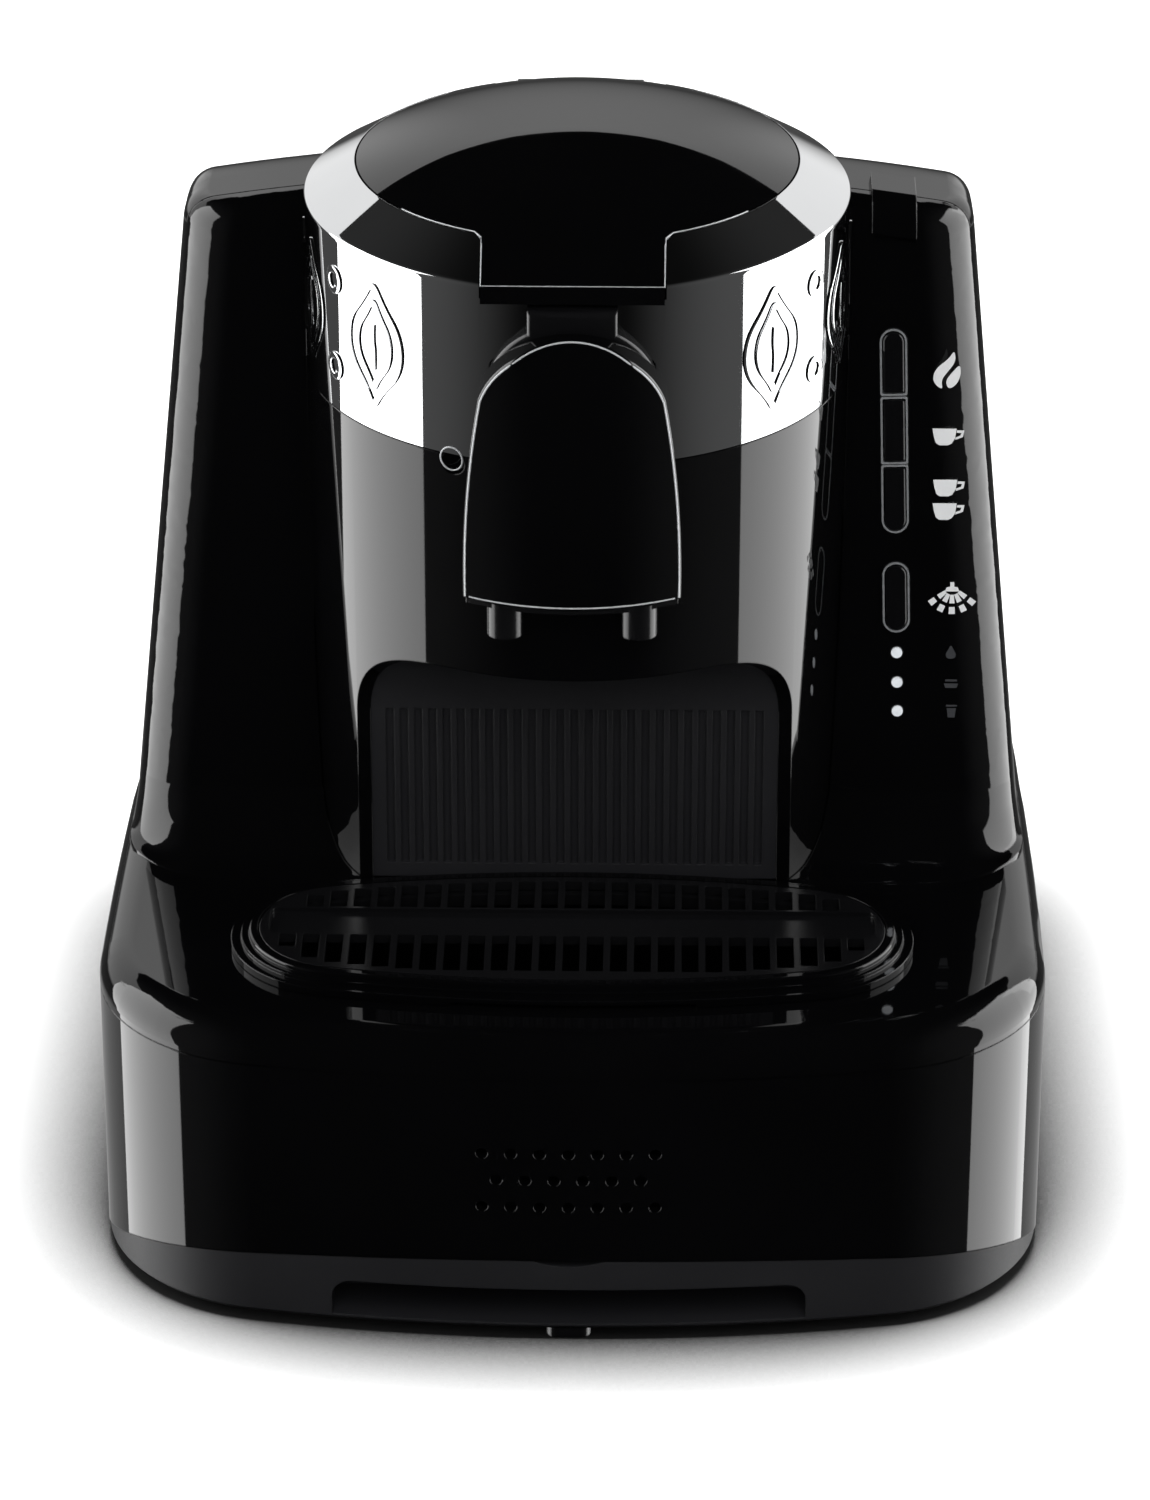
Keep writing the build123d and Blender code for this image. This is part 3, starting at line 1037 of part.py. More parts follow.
with BuildPart() as finger_tab:
    # matt tab that lies on the tank lid and hangs over the front shoulder, to lift the lid
    free, skin = SHOULDER_R + MOVE, SHOULDER_R + 1.6
    low, high = TAB_C[1] + SHOULDER_R + 0.05, TAB_C[1] + skin
    with BuildSketch(Plane.YZ.offset(TAB_X)):
        with BuildLine():
            Polyline((TAB_BACK, low), (LID_FRONT + 0.6, low), (LID_FRONT + 0.6, TAB_C[1] + free),
                     tab_point(free, 90))
            ThreePointArc(tab_point(free, 90), tab_point(free, 45), tab_point(free, 0))
            Polyline(tab_point(free, 0), tab_point(skin - 0.6, 0), tab_point(skin, 5))
            ThreePointArc(tab_point(skin, 5), tab_point(skin, 47), tab_point(skin, 90))
            Polyline(tab_point(skin, 90), (TAB_BACK - 0.8, high), (TAB_BACK, high - 0.6), (TAB_BACK, low))
        make_face()
    extrude(amount=TAB_W, dir=(1, -0.02, -(TAB_X + TAB_W / 2) / ARCH_R))
finger_tab.part.label = "finger_tab"
export_step(finger_tab.part, "parts/finger_tab.step")

# ---------------------------------------------------------------- works inside
with BuildPart() as pump:
    # vibration pump on its side of the tower
    with Locations((-80, 40, 92)):
        Cylinder(13, 34, align=(Align.CENTER, Align.CENTER, Align.MIN))
        Cylinder(7, 52, align=(Align.CENTER, Align.CENTER, Align.MIN))
        Cylinder(3, 62, align=(Align.CENTER, Align.CENTER, Align.MIN))
        Box(30, 22, 3, align=(Align.CENTER, Align.CENTER, Align.MIN))
pump.part.label = "pump"
export_step(pump.part, "parts/pump.step")

with BuildPart() as water_hoses:
    # suction hose from the bay's socket, pressure hose up to the pot
    with BuildLine() as suction:
        FilletPolyline((0, 95, 79.8), (0, 95, 66), (-80, 40, 66), (-80, 40, 91.8), radius=9)
    with BuildSketch(Plane(origin=suction.line @ 0, z_dir=suction.line % 0)):
        Circle(2.6)
    sweep(path=suction.line)
    with BuildLine() as pressure:
        FilletPolyline((-80, 40, 154.2), (-80, 40, 214), (-64, 30, 214), radius=9)
    with BuildSketch(Plane(origin=pressure.line @ 0, z_dir=pressure.line % 0)):
        Circle(2.6)
    sweep(path=pressure.line)
water_hoses.part.label = "water_hoses"
export_step(water_hoses.part, "parts/water_hoses.step")

with BuildPart() as speaker:
    # small round speaker behind the sound holes
    with BuildSketch(Plane.YZ):
        y0 = FRONT_Y + WALL + 0.6
        with BuildLine():
            Polyline((y0 + 6, 42.3), (y0 + 3, 54), (y0 + 0.6, 57.6), (y0 + 0.6, 61.8), (y0 + 2.2, 61.8),
                     (y0 + 8, 53), (y0 + 8, 51), (y0 + 14, 51), (y0 + 14, 42.3), (y0 + 6, 42.3))
        make_face()
    revolve(axis=Axis((0, 0, 42.3), (0, 1, 0)))
speaker.part.label = "speaker"
export_step(speaker.part, "parts/speaker.step")

with BuildPart() as power_board:
    with Locations((24, 60, 14)):
        Box(84, 62, 1.6, align=(Align.CENTER, Align.CENTER, Align.MIN))
    with Locations((10, 50, 15.6)):
        Box(22, 18, 16, align=(Align.CENTER, Align.CENTER, Align.MIN))
    with Locations((48, 72, 15.6)):
        Box(14, 12, 12, align=(Align.CENTER, Align.CENTER, Align.MIN))
    with Locations((44, 44, 15.6)):
        Cylinder(6, 18, align=(Align.CENTER, Align.CENTER, Align.MIN))
    with Locations(*[(x, y, TUB_Z + WALL + 0.1) for x in (-14, 60) for y in (33, 86)]):
        Cylinder(3, 14 - TUB_Z - WALL - 0.1, align=(Align.CENTER, Align.CENTER, Align.MIN))
power_board.part.label = "power_board"
export_step(power_board.part, "parts/power_board.step")
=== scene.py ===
"""Looks of an automatic two-cup Turkish coffee maker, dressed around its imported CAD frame.

Blender works in metres, and the machine's named sizes are in millimetres. X is the machine's
right seen from the front, -Y is the front and Z is up.
"""

import logging
from dataclasses import dataclass, field
from enum import Enum
from math import asin, cos, degrees, pi, radians, sin, sqrt

import bmesh
import bpy
from mathutils import Matrix, Vector


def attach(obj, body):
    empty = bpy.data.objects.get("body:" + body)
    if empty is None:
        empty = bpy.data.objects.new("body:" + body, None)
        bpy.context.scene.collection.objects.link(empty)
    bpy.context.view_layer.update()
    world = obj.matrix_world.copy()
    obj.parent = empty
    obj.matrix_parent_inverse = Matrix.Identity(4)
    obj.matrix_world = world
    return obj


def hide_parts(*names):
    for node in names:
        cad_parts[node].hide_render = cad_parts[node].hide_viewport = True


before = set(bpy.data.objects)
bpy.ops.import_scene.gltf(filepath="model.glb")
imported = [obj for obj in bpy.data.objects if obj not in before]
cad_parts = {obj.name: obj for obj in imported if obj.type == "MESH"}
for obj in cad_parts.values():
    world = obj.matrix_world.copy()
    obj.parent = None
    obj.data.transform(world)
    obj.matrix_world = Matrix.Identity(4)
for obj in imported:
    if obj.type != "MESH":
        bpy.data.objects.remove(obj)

LOG = logging.getLogger("coffee_maker")
MM = 0.001
# vertices nearer than this are merged, in millimetres on pieces and in metres on the stage
MERGE, STAGE_MERGE = 1e-4, 1e-5
FULL_TURN = 2 * pi
UP = Vector((0, 0, 1))

# inputs that share their name with another input of the node, by number: those of Math and Mix
FIRST, SECOND = 0, 1
FACTOR, NUMBER_A, NUMBER_B, COLOUR_A, COLOUR_B = 0, 2, 3, 6, 7

BMesh = bmesh.types.BMesh
Material = bpy.types.Material
Object = bpy.types.Object
Pair = tuple[float, float]
Point = tuple[float, float]
Point3 = tuple[float, float, float]
Outline = list[Point]


# ---- shared sizes, in millimetres
class Size:
    """Sizes repeated from the CAD source, in millimetres."""

    RING_R = 62.5
    RING_T = 2.2
    RING_TOP = 237.5
    RING_BOT = 195.5
    SEAT_R = 50.8
    LID_R = 50.42
    LID_SEAM_Z = 244.6
    TONGUE_X = 20.3
    MOVE = 0.4
    HINGE_Z = 239.4
    FACE_Y = 4.0
    FACE_Z = 232.0
    LEAN = 0.158
    SPOUT_X = 24.4
    SPOUT_TOP = 229.6
    SPOUT_BOT = 166.0
    SPOUT_Y = -75.0
    SPOUT_FRONT_R = 49.0


class Slot(Enum):
    """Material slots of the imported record."""

    GLOSS = "gloss_black"
    MATT = "matt_grey"
    SATIN = "matt_black"
    CHROME = "chrome"
    STEEL = "steel"
    ALUMINIUM = "aluminium"
    RUBBER = "rubber"
    KEY = "button_black"
    TANK = "smoke_clear"
    LAMP = "lamp_white"
    BOARD = "board_green"


class Body(Enum):
    """CAD bodies that pieces ride on."""

    HOUSING = "housing"
    LID = "dome_lid"
    SHIELD = "shield"


# ---- materials
def linear(hex_colour: str) -> tuple[float, float, float, float]:
    """Turn an sRGB hex colour into linear light.

    Args:
        hex_colour: Six hex digits.

    Returns:
        Linear red, green, blue and an alpha of 1.
    """
    out = []
    for i in (0, 2, 4):
        c = int(hex_colour[i : i + 2], 16) / 255
        out.append(c / 12.92 if c <= 0.04045 else ((c + 0.055) / 1.055) ** 2.4)
    return (*out, 1.0)


def add_node(tree: bpy.types.NodeTree, kind: str, settings: dict | None = None,
             links: dict | None = None) -> bpy.types.Node:
    """Add one shader node with its settings and incoming links.

    Args:
        tree: Node tree to add to.
        kind: Name of the node's type, after ShaderNode.
        settings: Node properties by name, or socket values by name or number.
        links: Input sockets by name or number, each with the output socket that feeds it.

    Returns:
        The new node.
    """
    node = tree.nodes.new("ShaderNode" + kind)
    for key, value in (settings or {}).items():
        if isinstance(key, str) and hasattr(node, key) and key not in node.inputs:
            setattr(node, key, value)
        else:
            node.inputs[key].default_value = value
    for key, source in (links or {}).items():
        tree.links.new(source, node.inputs[key])
    return node


@dataclass(frozen=True)
class Finish:
    """A surface finish with colour mottle, uneven roughness, micro relief and softened edges.

    Args:
        name: Material name.
        dark: Darker tone of the colour, sRGB hex.
        light: Lighter tone of the colour, sRGB hex.
        rough: Lowest and highest roughness.
        grain_mm: Size of the surface grain.
        relief_mm: Height of the surface grain.
        edge_mm: Radius that softens sharp edges in the shading, or 0 for none.
        metallic: Metalness.
        stretch: Stretch of the grain along X, Y and Z, for brushed metals.
        transmission: Share of light let through.
        ior: Refractive index, or None for a metal.
        cloud_scale: Scale of the colour mottle, whose patches are about 45 mm across.
        uneven: Range of grain and mottle added, over which the roughness runs.
    """

    name: str
    dark: str
    light: str
    rough: Pair
    grain_mm: float
    relief_mm: float
    edge_mm: float = 0.0
    metallic: float = 0.0
    stretch: Point3 = (1.0, 1.0, 1.0)
    transmission: float = 0.0
    ior: float | None = 1.5
    cloud_scale: float = 22.0
    uneven: Pair = (0.6, 1.4)

    def build(self) -> Material:
        """Make the Blender material.

        Returns:
            The material.
        """
        mat = bpy.data.materials.new(self.name)
        mat.use_nodes = True
        tree = mat.node_tree
        shader = tree.nodes["Principled BSDF"]
        shader.inputs["Metallic"].default_value = self.metallic
        shader.inputs["Transmission Weight"].default_value = self.transmission
        if self.ior is not None:
            shader.inputs["IOR"].default_value = self.ior
        coords = add_node(tree, "TexCoord").outputs["Object"]
        place = add_node(tree, "Mapping", {"Scale": self.stretch}, {"Vector": coords})
        grain = add_node(tree, "TexNoise", {"Scale": 1000 / self.grain_mm, "Detail": 3.0},
                         {"Vector": place.outputs[0]}).outputs["Fac"]
        clouds = add_node(tree, "TexNoise", {"Scale": self.cloud_scale, "Detail": 4.0},
                          {"Vector": coords}).outputs["Fac"]
        tone = add_node(tree, "Mix",
                        {"data_type": "RGBA", COLOUR_A: linear(self.dark),
                         COLOUR_B: linear(self.light)}, {FACTOR: clouds})
        tree.links.new(tone.outputs[2], shader.inputs["Base Color"])
        both = add_node(tree, "Math", {"operation": "ADD"}, {FIRST: grain, SECOND: clouds})
        rough = add_node(tree, "MapRange",
                         {"From Min": self.uneven[0], "From Max": self.uneven[1],
                          "To Min": self.rough[0], "To Max": self.rough[1]},
                         {"Value": both.outputs[0]})
        tree.links.new(rough.outputs[0], shader.inputs["Roughness"])
        normal = None
        if self.edge_mm:
            normal = add_node(tree, "Bevel", {"samples": 4, "Radius": self.edge_mm * MM}).outputs[0]
        if self.relief_mm:
            links = {"Height": grain, "Normal": normal} if normal else {"Height": grain}
            normal = add_node(tree, "Bump", {"Distance": self.relief_mm * MM}, links).outputs[0]
        if normal:
            tree.links.new(normal, shader.inputs["Normal"])
        return mat


@dataclass(frozen=True)
class LampFinish:
    """A frosted window lit from behind.

    Args:
        name: Material name.
        colour: sRGB hex of the light.
        frost: sRGB hex of the frost's pale specks.
        strength: Emission strength.
        rough: Roughness of the frosted face.
        frost_scale: Scale of the specks, which are about 1 mm across.
    """

    name: str
    colour: str
    frost: str
    strength: float
    rough: float = 0.35
    frost_scale: float = 900.0

    def build(self) -> Material:
        """Make the Blender material.

        Returns:
            The material.
        """
        mat = bpy.data.materials.new(self.name)
        mat.use_nodes = True
        tree = mat.node_tree
        shader = tree.nodes["Principled BSDF"]
        coords = add_node(tree, "TexCoord").outputs["Object"]
        specks = add_node(tree, "TexNoise", {"Scale": self.frost_scale, "Detail": 2.0},
                          {"Vector": coords})
        tone = add_node(tree, "Mix",
                        {"data_type": "RGBA", COLOUR_A: linear(self.colour),
                         COLOUR_B: linear(self.frost)}, {FACTOR: specks.outputs["Fac"]})
        tree.links.new(tone.outputs[2], shader.inputs["Base Color"])
        tree.links.new(tone.outputs[2], shader.inputs["Emission Color"])
        shader.inputs["Emission Strength"].default_value = self.strength
        shader.inputs["Roughness"].default_value = self.rough
        return mat


FINISHES: dict[Slot, Finish | LampFinish] = {
    # piano-black ABS, moulded in a polished tool: deep, mirror smooth, with the faintest orange
    # peel and soft edges that catch the light
    Slot.GLOSS: Finish("piano_black_abs", "020202", "050506", (0.015, 0.04), 9.0, 0.0006, 0.45,
                       ior=1.56),
    # spark-eroded polypropylene: a fine matt grain that turns the skirt an even charcoal
    Slot.MATT: Finish("spark_matt_pp", "151517", "1D1D1F", (0.42, 0.58), 0.35, 0.03, 0.5,
                      ior=1.49),
    # satin ABS of trays and inner mouldings: a broad soft sheen along each rib
    Slot.SATIN: Finish("satin_black_abs", "070708", "0D0D0E", (0.16, 0.26), 0.6, 0.004, 0.4,
                       ior=1.52),
    # bright chrome plating on plastic: cool, nearly perfect mirror with hard-edged reflections
    Slot.CHROME: Finish("chrome_plate", "D9DADB", "E6E7E8", (0.015, 0.04), 14.0, 0.0006,
                        metallic=1.0, ior=None),
    # brushed stainless sheet: its grain runs round the pot and draws highlights into bands
    Slot.STEEL: Finish("brushed_steel", "A8A6A2", "BDBBB7", (0.16, 0.30), 1.6, 0.004,
                       metallic=1.0, stretch=(0.15, 0.15, 6.0), ior=None),
    # die-cast aluminium: a coarse skin with a dull, broken shine
    Slot.ALUMINIUM: Finish("cast_aluminium", "B4B5B6", "C9CACB", (0.35, 0.5), 0.9, 0.03,
                           metallic=1.0, ior=None),
    # moulded nitrile rubber: dull, slightly dusty
    Slot.RUBBER: Finish("nitrile_rubber", "161616", "202020", (0.55, 0.75), 0.5, 0.02, ior=1.52),
    # push keys of moulded ABS: the gloss of the panel, a touch softer from use
    Slot.KEY: Finish("key_black_abs", "050506", "0A0A0B", (0.05, 0.1), 4.0, 0.001, 0.4, ior=1.52),
    # smoked SAN of the water tank, moulded: grey glassy walls that show the water level
    Slot.TANK: Finish("smoked_san", "3A3B3D", "444547", (0.03, 0.06), 10.0, 0.001,
                      transmission=0.85, ior=1.57),
    # frosted polycarbonate lamp window: an even pale dot
    Slot.LAMP: LampFinish("lamp_window", "BFC4C9", "D9DCE0", 0.12),
    # green solder mask of the boards: half-gloss lacquer over glass cloth
    Slot.BOARD: Finish("solder_mask", "0D3B1E", "14502A", (0.25, 0.4), 1.4, 0.02, ior=1.55),
}
# painted highlight on the arrises of the black mouldings: a hair-thin light-grey line that stays
# bright from any side, in place of the light their edges catch
ARRIS_HIGHLIGHT = Finish("painted_arris_highlight", "9FA1A3", "C6C8CA", (0.22, 0.34), 2.0, 0.002, metallic=0.35)
# the same painted highlight on the key frames, greyer where it is thin
FRAME_HIGHLIGHT = Finish("painted_frame_highlight", "6E7072", "8B8D8F", (0.22, 0.34), 2.0, 0.002, metallic=0.35)
# the lid's piano-black ABS: its dome runs into the tongue with no softened crease
LID_GLOSS = Finish("piano_black_lid", "020202", "050506", (0.015, 0.04), 9.0, 0.0006, ior=1.56)
# pad-printed light grey ink of the pictograms: flat, slightly uneven cover
INK = Finish("print_light_grey", "B9BABB", "CDCECF", (0.4, 0.55), 0.5, 0.002)
# smoked ink of the unlit warnings: hardly shows on the black
DIM_INK = Finish("print_smoke_grey", "2C2D2F", "36373A", (0.4, 0.55), 0.5, 0.002)
# uncoated white paper of the floor: flat and even
PAPER = Finish("paper_sweep", "E9E9E9", "ECECEC", (0.85, 0.95), 2.0, 0.0)


# ---- studio
def stage_mesh(name: str, bm: BMesh, mat: Material) -> Object:
    """Turn a bmesh into a smooth object that isn't part of the machine.

    Args:
        name: Object name.
        bm: The mesh, freed here.
        mat: Its material.

    Returns:
        The staged object.
    """
    mesh = bpy.data.meshes.new(name)
    bm.to_mesh(mesh)
    bm.free()
    for poly in mesh.polygons:
        poly.use_smooth = True
    mesh.materials.append(mat)
    ob = bpy.data.objects.new(name, mesh)
    bpy.context.scene.collection.objects.link(ob)
    return ob


@dataclass(frozen=True)
class SoftBox:
    """An upright soft box that faces the object, with a fade from one side to the other.

    Args:
        name: Object name.
        azimuth: Degrees from the front, positive toward +X.
        distance: Metres from the axis of the pot.
        size: Width and height in metres.
        mid_z: Height of its middle in metres.
        radiance: Brightness of its face at its two upright edges.
    """

    name: str
    azimuth: float
    distance: float
    size: Pair
    mid_z: float
    radiance: Pair

    def build(self) -> None:
        """Hang the soft box."""
        light = bpy.data.lights.new(self.name, "AREA")
        light.shape = "RECTANGLE"
        light.size, light.size_y = self.size
        light.energy = pi * self.size[0] * self.size[1]
        light.use_nodes = True
        tree = light.node_tree
        spot = add_node(tree, "NewGeometry").outputs["Parametric"]
        across = add_node(tree, "SeparateXYZ", None, {"Vector": spot}).outputs["X"]
        fade = add_node(tree, "MapRange",
                        {"To Min": self.radiance[0], "To Max": self.radiance[1]}, {"Value": across})
        tree.links.new(fade.outputs[0], tree.nodes["Emission"].inputs["Strength"])
        ob = bpy.data.objects.new(self.name, light)
        turn = radians(self.azimuth)
        place = Vector((sin(turn) * self.distance, -cos(turn) * self.distance, self.mid_z))
        ob.location = place
        back = Vector((place.x, place.y, 0)).normalized()
        ob.rotation_euler = Matrix((UP.cross(back), UP, back)).transposed().to_euler()
        bpy.context.scene.collection.objects.link(ob)


@dataclass(frozen=True)
class FillLamp:
    """A soft lamp that brings up matt faces and print, and leaves no shine of its own.

    Args:
        name: Object name.
        side: Length of its sides in metres.
        radiance: Brightness of its face.
        place: Where it hangs, in metres.
        aim: What it faces, in metres.
    """

    name: str
    side: float
    radiance: float
    place: Point3
    aim: Point3

    def build(self) -> None:
        """Hang the lamp."""
        light = bpy.data.lights.new(self.name, "AREA")
        light.shape = "RECTANGLE"
        light.size = light.size_y = self.side
        light.energy = self.radiance * pi * self.side * self.side
        ob = bpy.data.objects.new(self.name, light)
        ob.location = self.place
        away = Vector(ob.location) - Vector(self.aim)
        ob.rotation_euler = away.to_track_quat("Z", "Y").to_euler()
        ob.visible_glossy = False
        bpy.context.scene.collection.objects.link(ob)


@dataclass(frozen=True)
class Floor:
    """The white floor that curves up into a plain wall all round; it keeps the object's cast
    shadow, and a painted shadow from ambient occlusion darkens its colour and glow close to the
    object.

    Args:
        flat_r: Radius of the flat floor in metres.
        bend_r: Radius of the bend into the wall.
        wall_top: Height of the wall.
        steps: Facets round the floor.
        shade: sRGB hex of the painted shadow close to the object.
        reach: How far the painted shadow spreads, in metres.
        open_sky: Shares of open sky between which the painted shadow runs out.
        glow: Glow of the open floor as seen by the eye.
    """

    flat_r: float = 3.2
    bend_r: float = 0.8
    wall_top: float = 4.0
    steps: int = 64
    shade: str = "101010"
    reach: float = 0.055
    open_sky: Pair = (0.5, 0.96)
    glow: float = 0.95

    def paper(self) -> Material:
        """Make the white paper: open floor reaches white, and a painted shadow from ambient
        occlusion darkens its colour and glow close to the object.

        Returns:
            The paper's material.
        """
        mat = PAPER.build()
        tree = mat.node_tree
        lit = tree.nodes["Principled BSDF"]
        # painted shadow: ambient occlusion near the object turns the paper's colour toward the dark
        # tone and dims its glow
        sky = add_node(tree, "AmbientOcclusion", {"samples": 24, "Distance": self.reach})
        glow = add_node(tree, "MapRange",
                        {"From Min": self.open_sky[0], "From Max": self.open_sky[1],
                         "To Min": 0.0, "To Max": self.glow}, {"Value": sky.outputs["AO"]})
        white = lit.inputs["Base Color"].links[0].from_socket
        tone = add_node(tree, "Mix",
                        {"data_type": "RGBA", COLOUR_A: linear(self.shade)},
                        {FACTOR: glow.outputs[0], COLOUR_B: white})
        tree.links.new(tone.outputs[2], lit.inputs["Base Color"])
        rays = add_node(tree, "LightPath").outputs
        seen = rays["Is Camera Ray"]
        for kind in ("Is Glossy Ray", "Is Transmission Ray"):
            seen = add_node(tree, "Math", {"operation": "ADD", "use_clamp": True},
                            {FIRST: seen, SECOND: rays[kind]}).outputs[0]
        # the same painted shadow dims the glow that the eye and polished faces see
        strength = add_node(tree, "Math", {"operation": "MULTIPLY"},
                            {FIRST: glow.outputs[0], SECOND: seen})
        lit.inputs["Emission Color"].default_value = (1, 1, 1, 1)
        tree.links.new(strength.outputs[0], lit.inputs["Emission Strength"])
        return mat

    def build(self) -> None:
        """Spin the floor and lay the paper on it."""
        bm = bmesh.new()
        profile = [(0.0, 0.0), (self.flat_r, 0.0)]
        profile += [(self.flat_r + self.bend_r * sin(radians(t)),
                     self.bend_r - self.bend_r * cos(radians(t))) for t in range(15, 91, 15)]
        profile.append((self.flat_r + self.bend_r, self.wall_top))
        verts = [bm.verts.new((r, 0, z)) for r, z in profile]
        edges = [bm.edges.new(pair) for pair in zip(verts, verts[1:])]
        bmesh.ops.spin(bm, geom=verts + edges, cent=(0, 0, 0), axis=UP, angle=FULL_TURN,
                       steps=self.steps, use_merge=True)
        bmesh.ops.remove_doubles(bm, verts=bm.verts, dist=STAGE_MERGE)
        bmesh.ops.recalc_face_normals(bm, faces=bm.faces)
        bmesh.ops.reverse_faces(bm, faces=bm.faces)
        stage_mesh("floor", bm, self.paper()).visible_glossy = False


@dataclass(frozen=True)
class Board:
    """The white board behind the object that polished faces see as the background.

    Args:
        radius: Metres from the axis of the pot.
        bottom: Height of its lower edge in metres, below the floor.
        centre_z: Height in metres from which the elevations are measured.
        tops: Elevation of the top edge in degrees, by degrees off the back.
        white: Brightness of the evenly white wings.
        middle: Brightness of the middle at the floor and at its top.
        middle_top: Height in metres where the middle reaches its full brightness.
        wing: Distances from the middle plane between which the middle turns into the wings.
        lift: Heights between which the wings begin.
        foot: Heights between which the foot below the floor lights up.
        foot_glow: Brightness of that foot, for low views from behind.
    """

    radius: float = 1.75
    bottom: float = -1.8
    centre_z: float = 0.24
    tops: tuple[Point, ...] = ((0, 31), (9, 31), (18, 31.5), (27, 32.5), (36, 33.5), (45, 33.5),
                               (54, 33.5), (62, 33.5))
    white: float = 0.98
    middle: Pair = (0.07, 0.98)
    middle_top: float = 1.2
    wing: Pair = (0.25, 0.62)
    lift: Pair = (-0.02, 0.12)
    foot: Pair = (-0.62, -0.8)
    foot_glow: float = 0.3

    def face(self) -> Material:
        """Make the board's glow: white at its wings, fading toward the floor in its middle.

        Returns:
            The board's material.
        """
        mat = bpy.data.materials.new("white_board")
        mat.use_nodes = True
        tree = mat.node_tree
        tree.nodes.clear()
        out = add_node(tree, "OutputMaterial")
        coords = add_node(tree, "TexCoord").outputs["Object"]
        spot = add_node(tree, "SeparateXYZ", None, {"Vector": coords}).outputs
        fade = add_node(tree, "MapRange",
                        {"From Min": 0.0, "From Max": self.middle_top,
                         "To Min": self.middle[0], "To Max": self.middle[1]}, {"Value": spot["Z"]})
        off = add_node(tree, "Math", {"operation": "ABSOLUTE"}, {FIRST: spot["X"]})
        wing = add_node(tree, "MapRange",
                        {"interpolation_type": "SMOOTHSTEP", "From Min": self.wing[0],
                         "From Max": self.wing[1]}, {"Value": off.outputs[0]})
        lift = add_node(tree, "MapRange",
                        {"From Min": self.lift[0], "From Max": self.lift[1]}, {"Value": spot["Z"]})
        share = add_node(tree, "Math", {"operation": "MULTIPLY"},
                         {FIRST: wing.outputs[0], SECOND: lift.outputs[0]})
        blend = add_node(tree, "Mix", {"data_type": "FLOAT", NUMBER_B: self.white},
                         {FACTOR: share.outputs[0], NUMBER_A: fade.outputs[0]})
        foot = add_node(tree, "MapRange",
                        {"From Min": self.foot[0], "From Max": self.foot[1],
                         "To Min": 0.0, "To Max": self.foot_glow}, {"Value": spot["Z"]})
        total = add_node(tree, "Math", {"operation": "ADD"},
                         {FIRST: blend.outputs[0], SECOND: foot.outputs[0]})
        glow = add_node(tree, "Emission", None, {"Strength": total.outputs[0]})
        tree.links.new(glow.outputs[0], out.inputs["Surface"])
        return mat

    def build(self) -> None:
        """Bend the board round the back of the object."""
        bm = bmesh.new()
        tops = [(-off, rise) for off, rise in reversed(self.tops[1:])] + list(self.tops)
        low, high = [], []
        for off, rise in tops:
            turn, climb = radians(180 + off), radians(rise)
            x, y = sin(turn) * self.radius, -cos(turn) * self.radius
            low.append(bm.verts.new((x, y, self.bottom)))
            high.append(bm.verts.new((x, y, self.centre_z + self.radius * sin(climb) / cos(climb))))
        edges = [bm.edges.new(pair) for row in (low, high) for pair in zip(row, row[1:])]
        bmesh.ops.bridge_loops(bm, edges=edges)
        ob = stage_mesh("board", bm, self.face())
        ob.visible_camera = False
        ob.visible_diffuse = False
        ob.visible_shadow = False


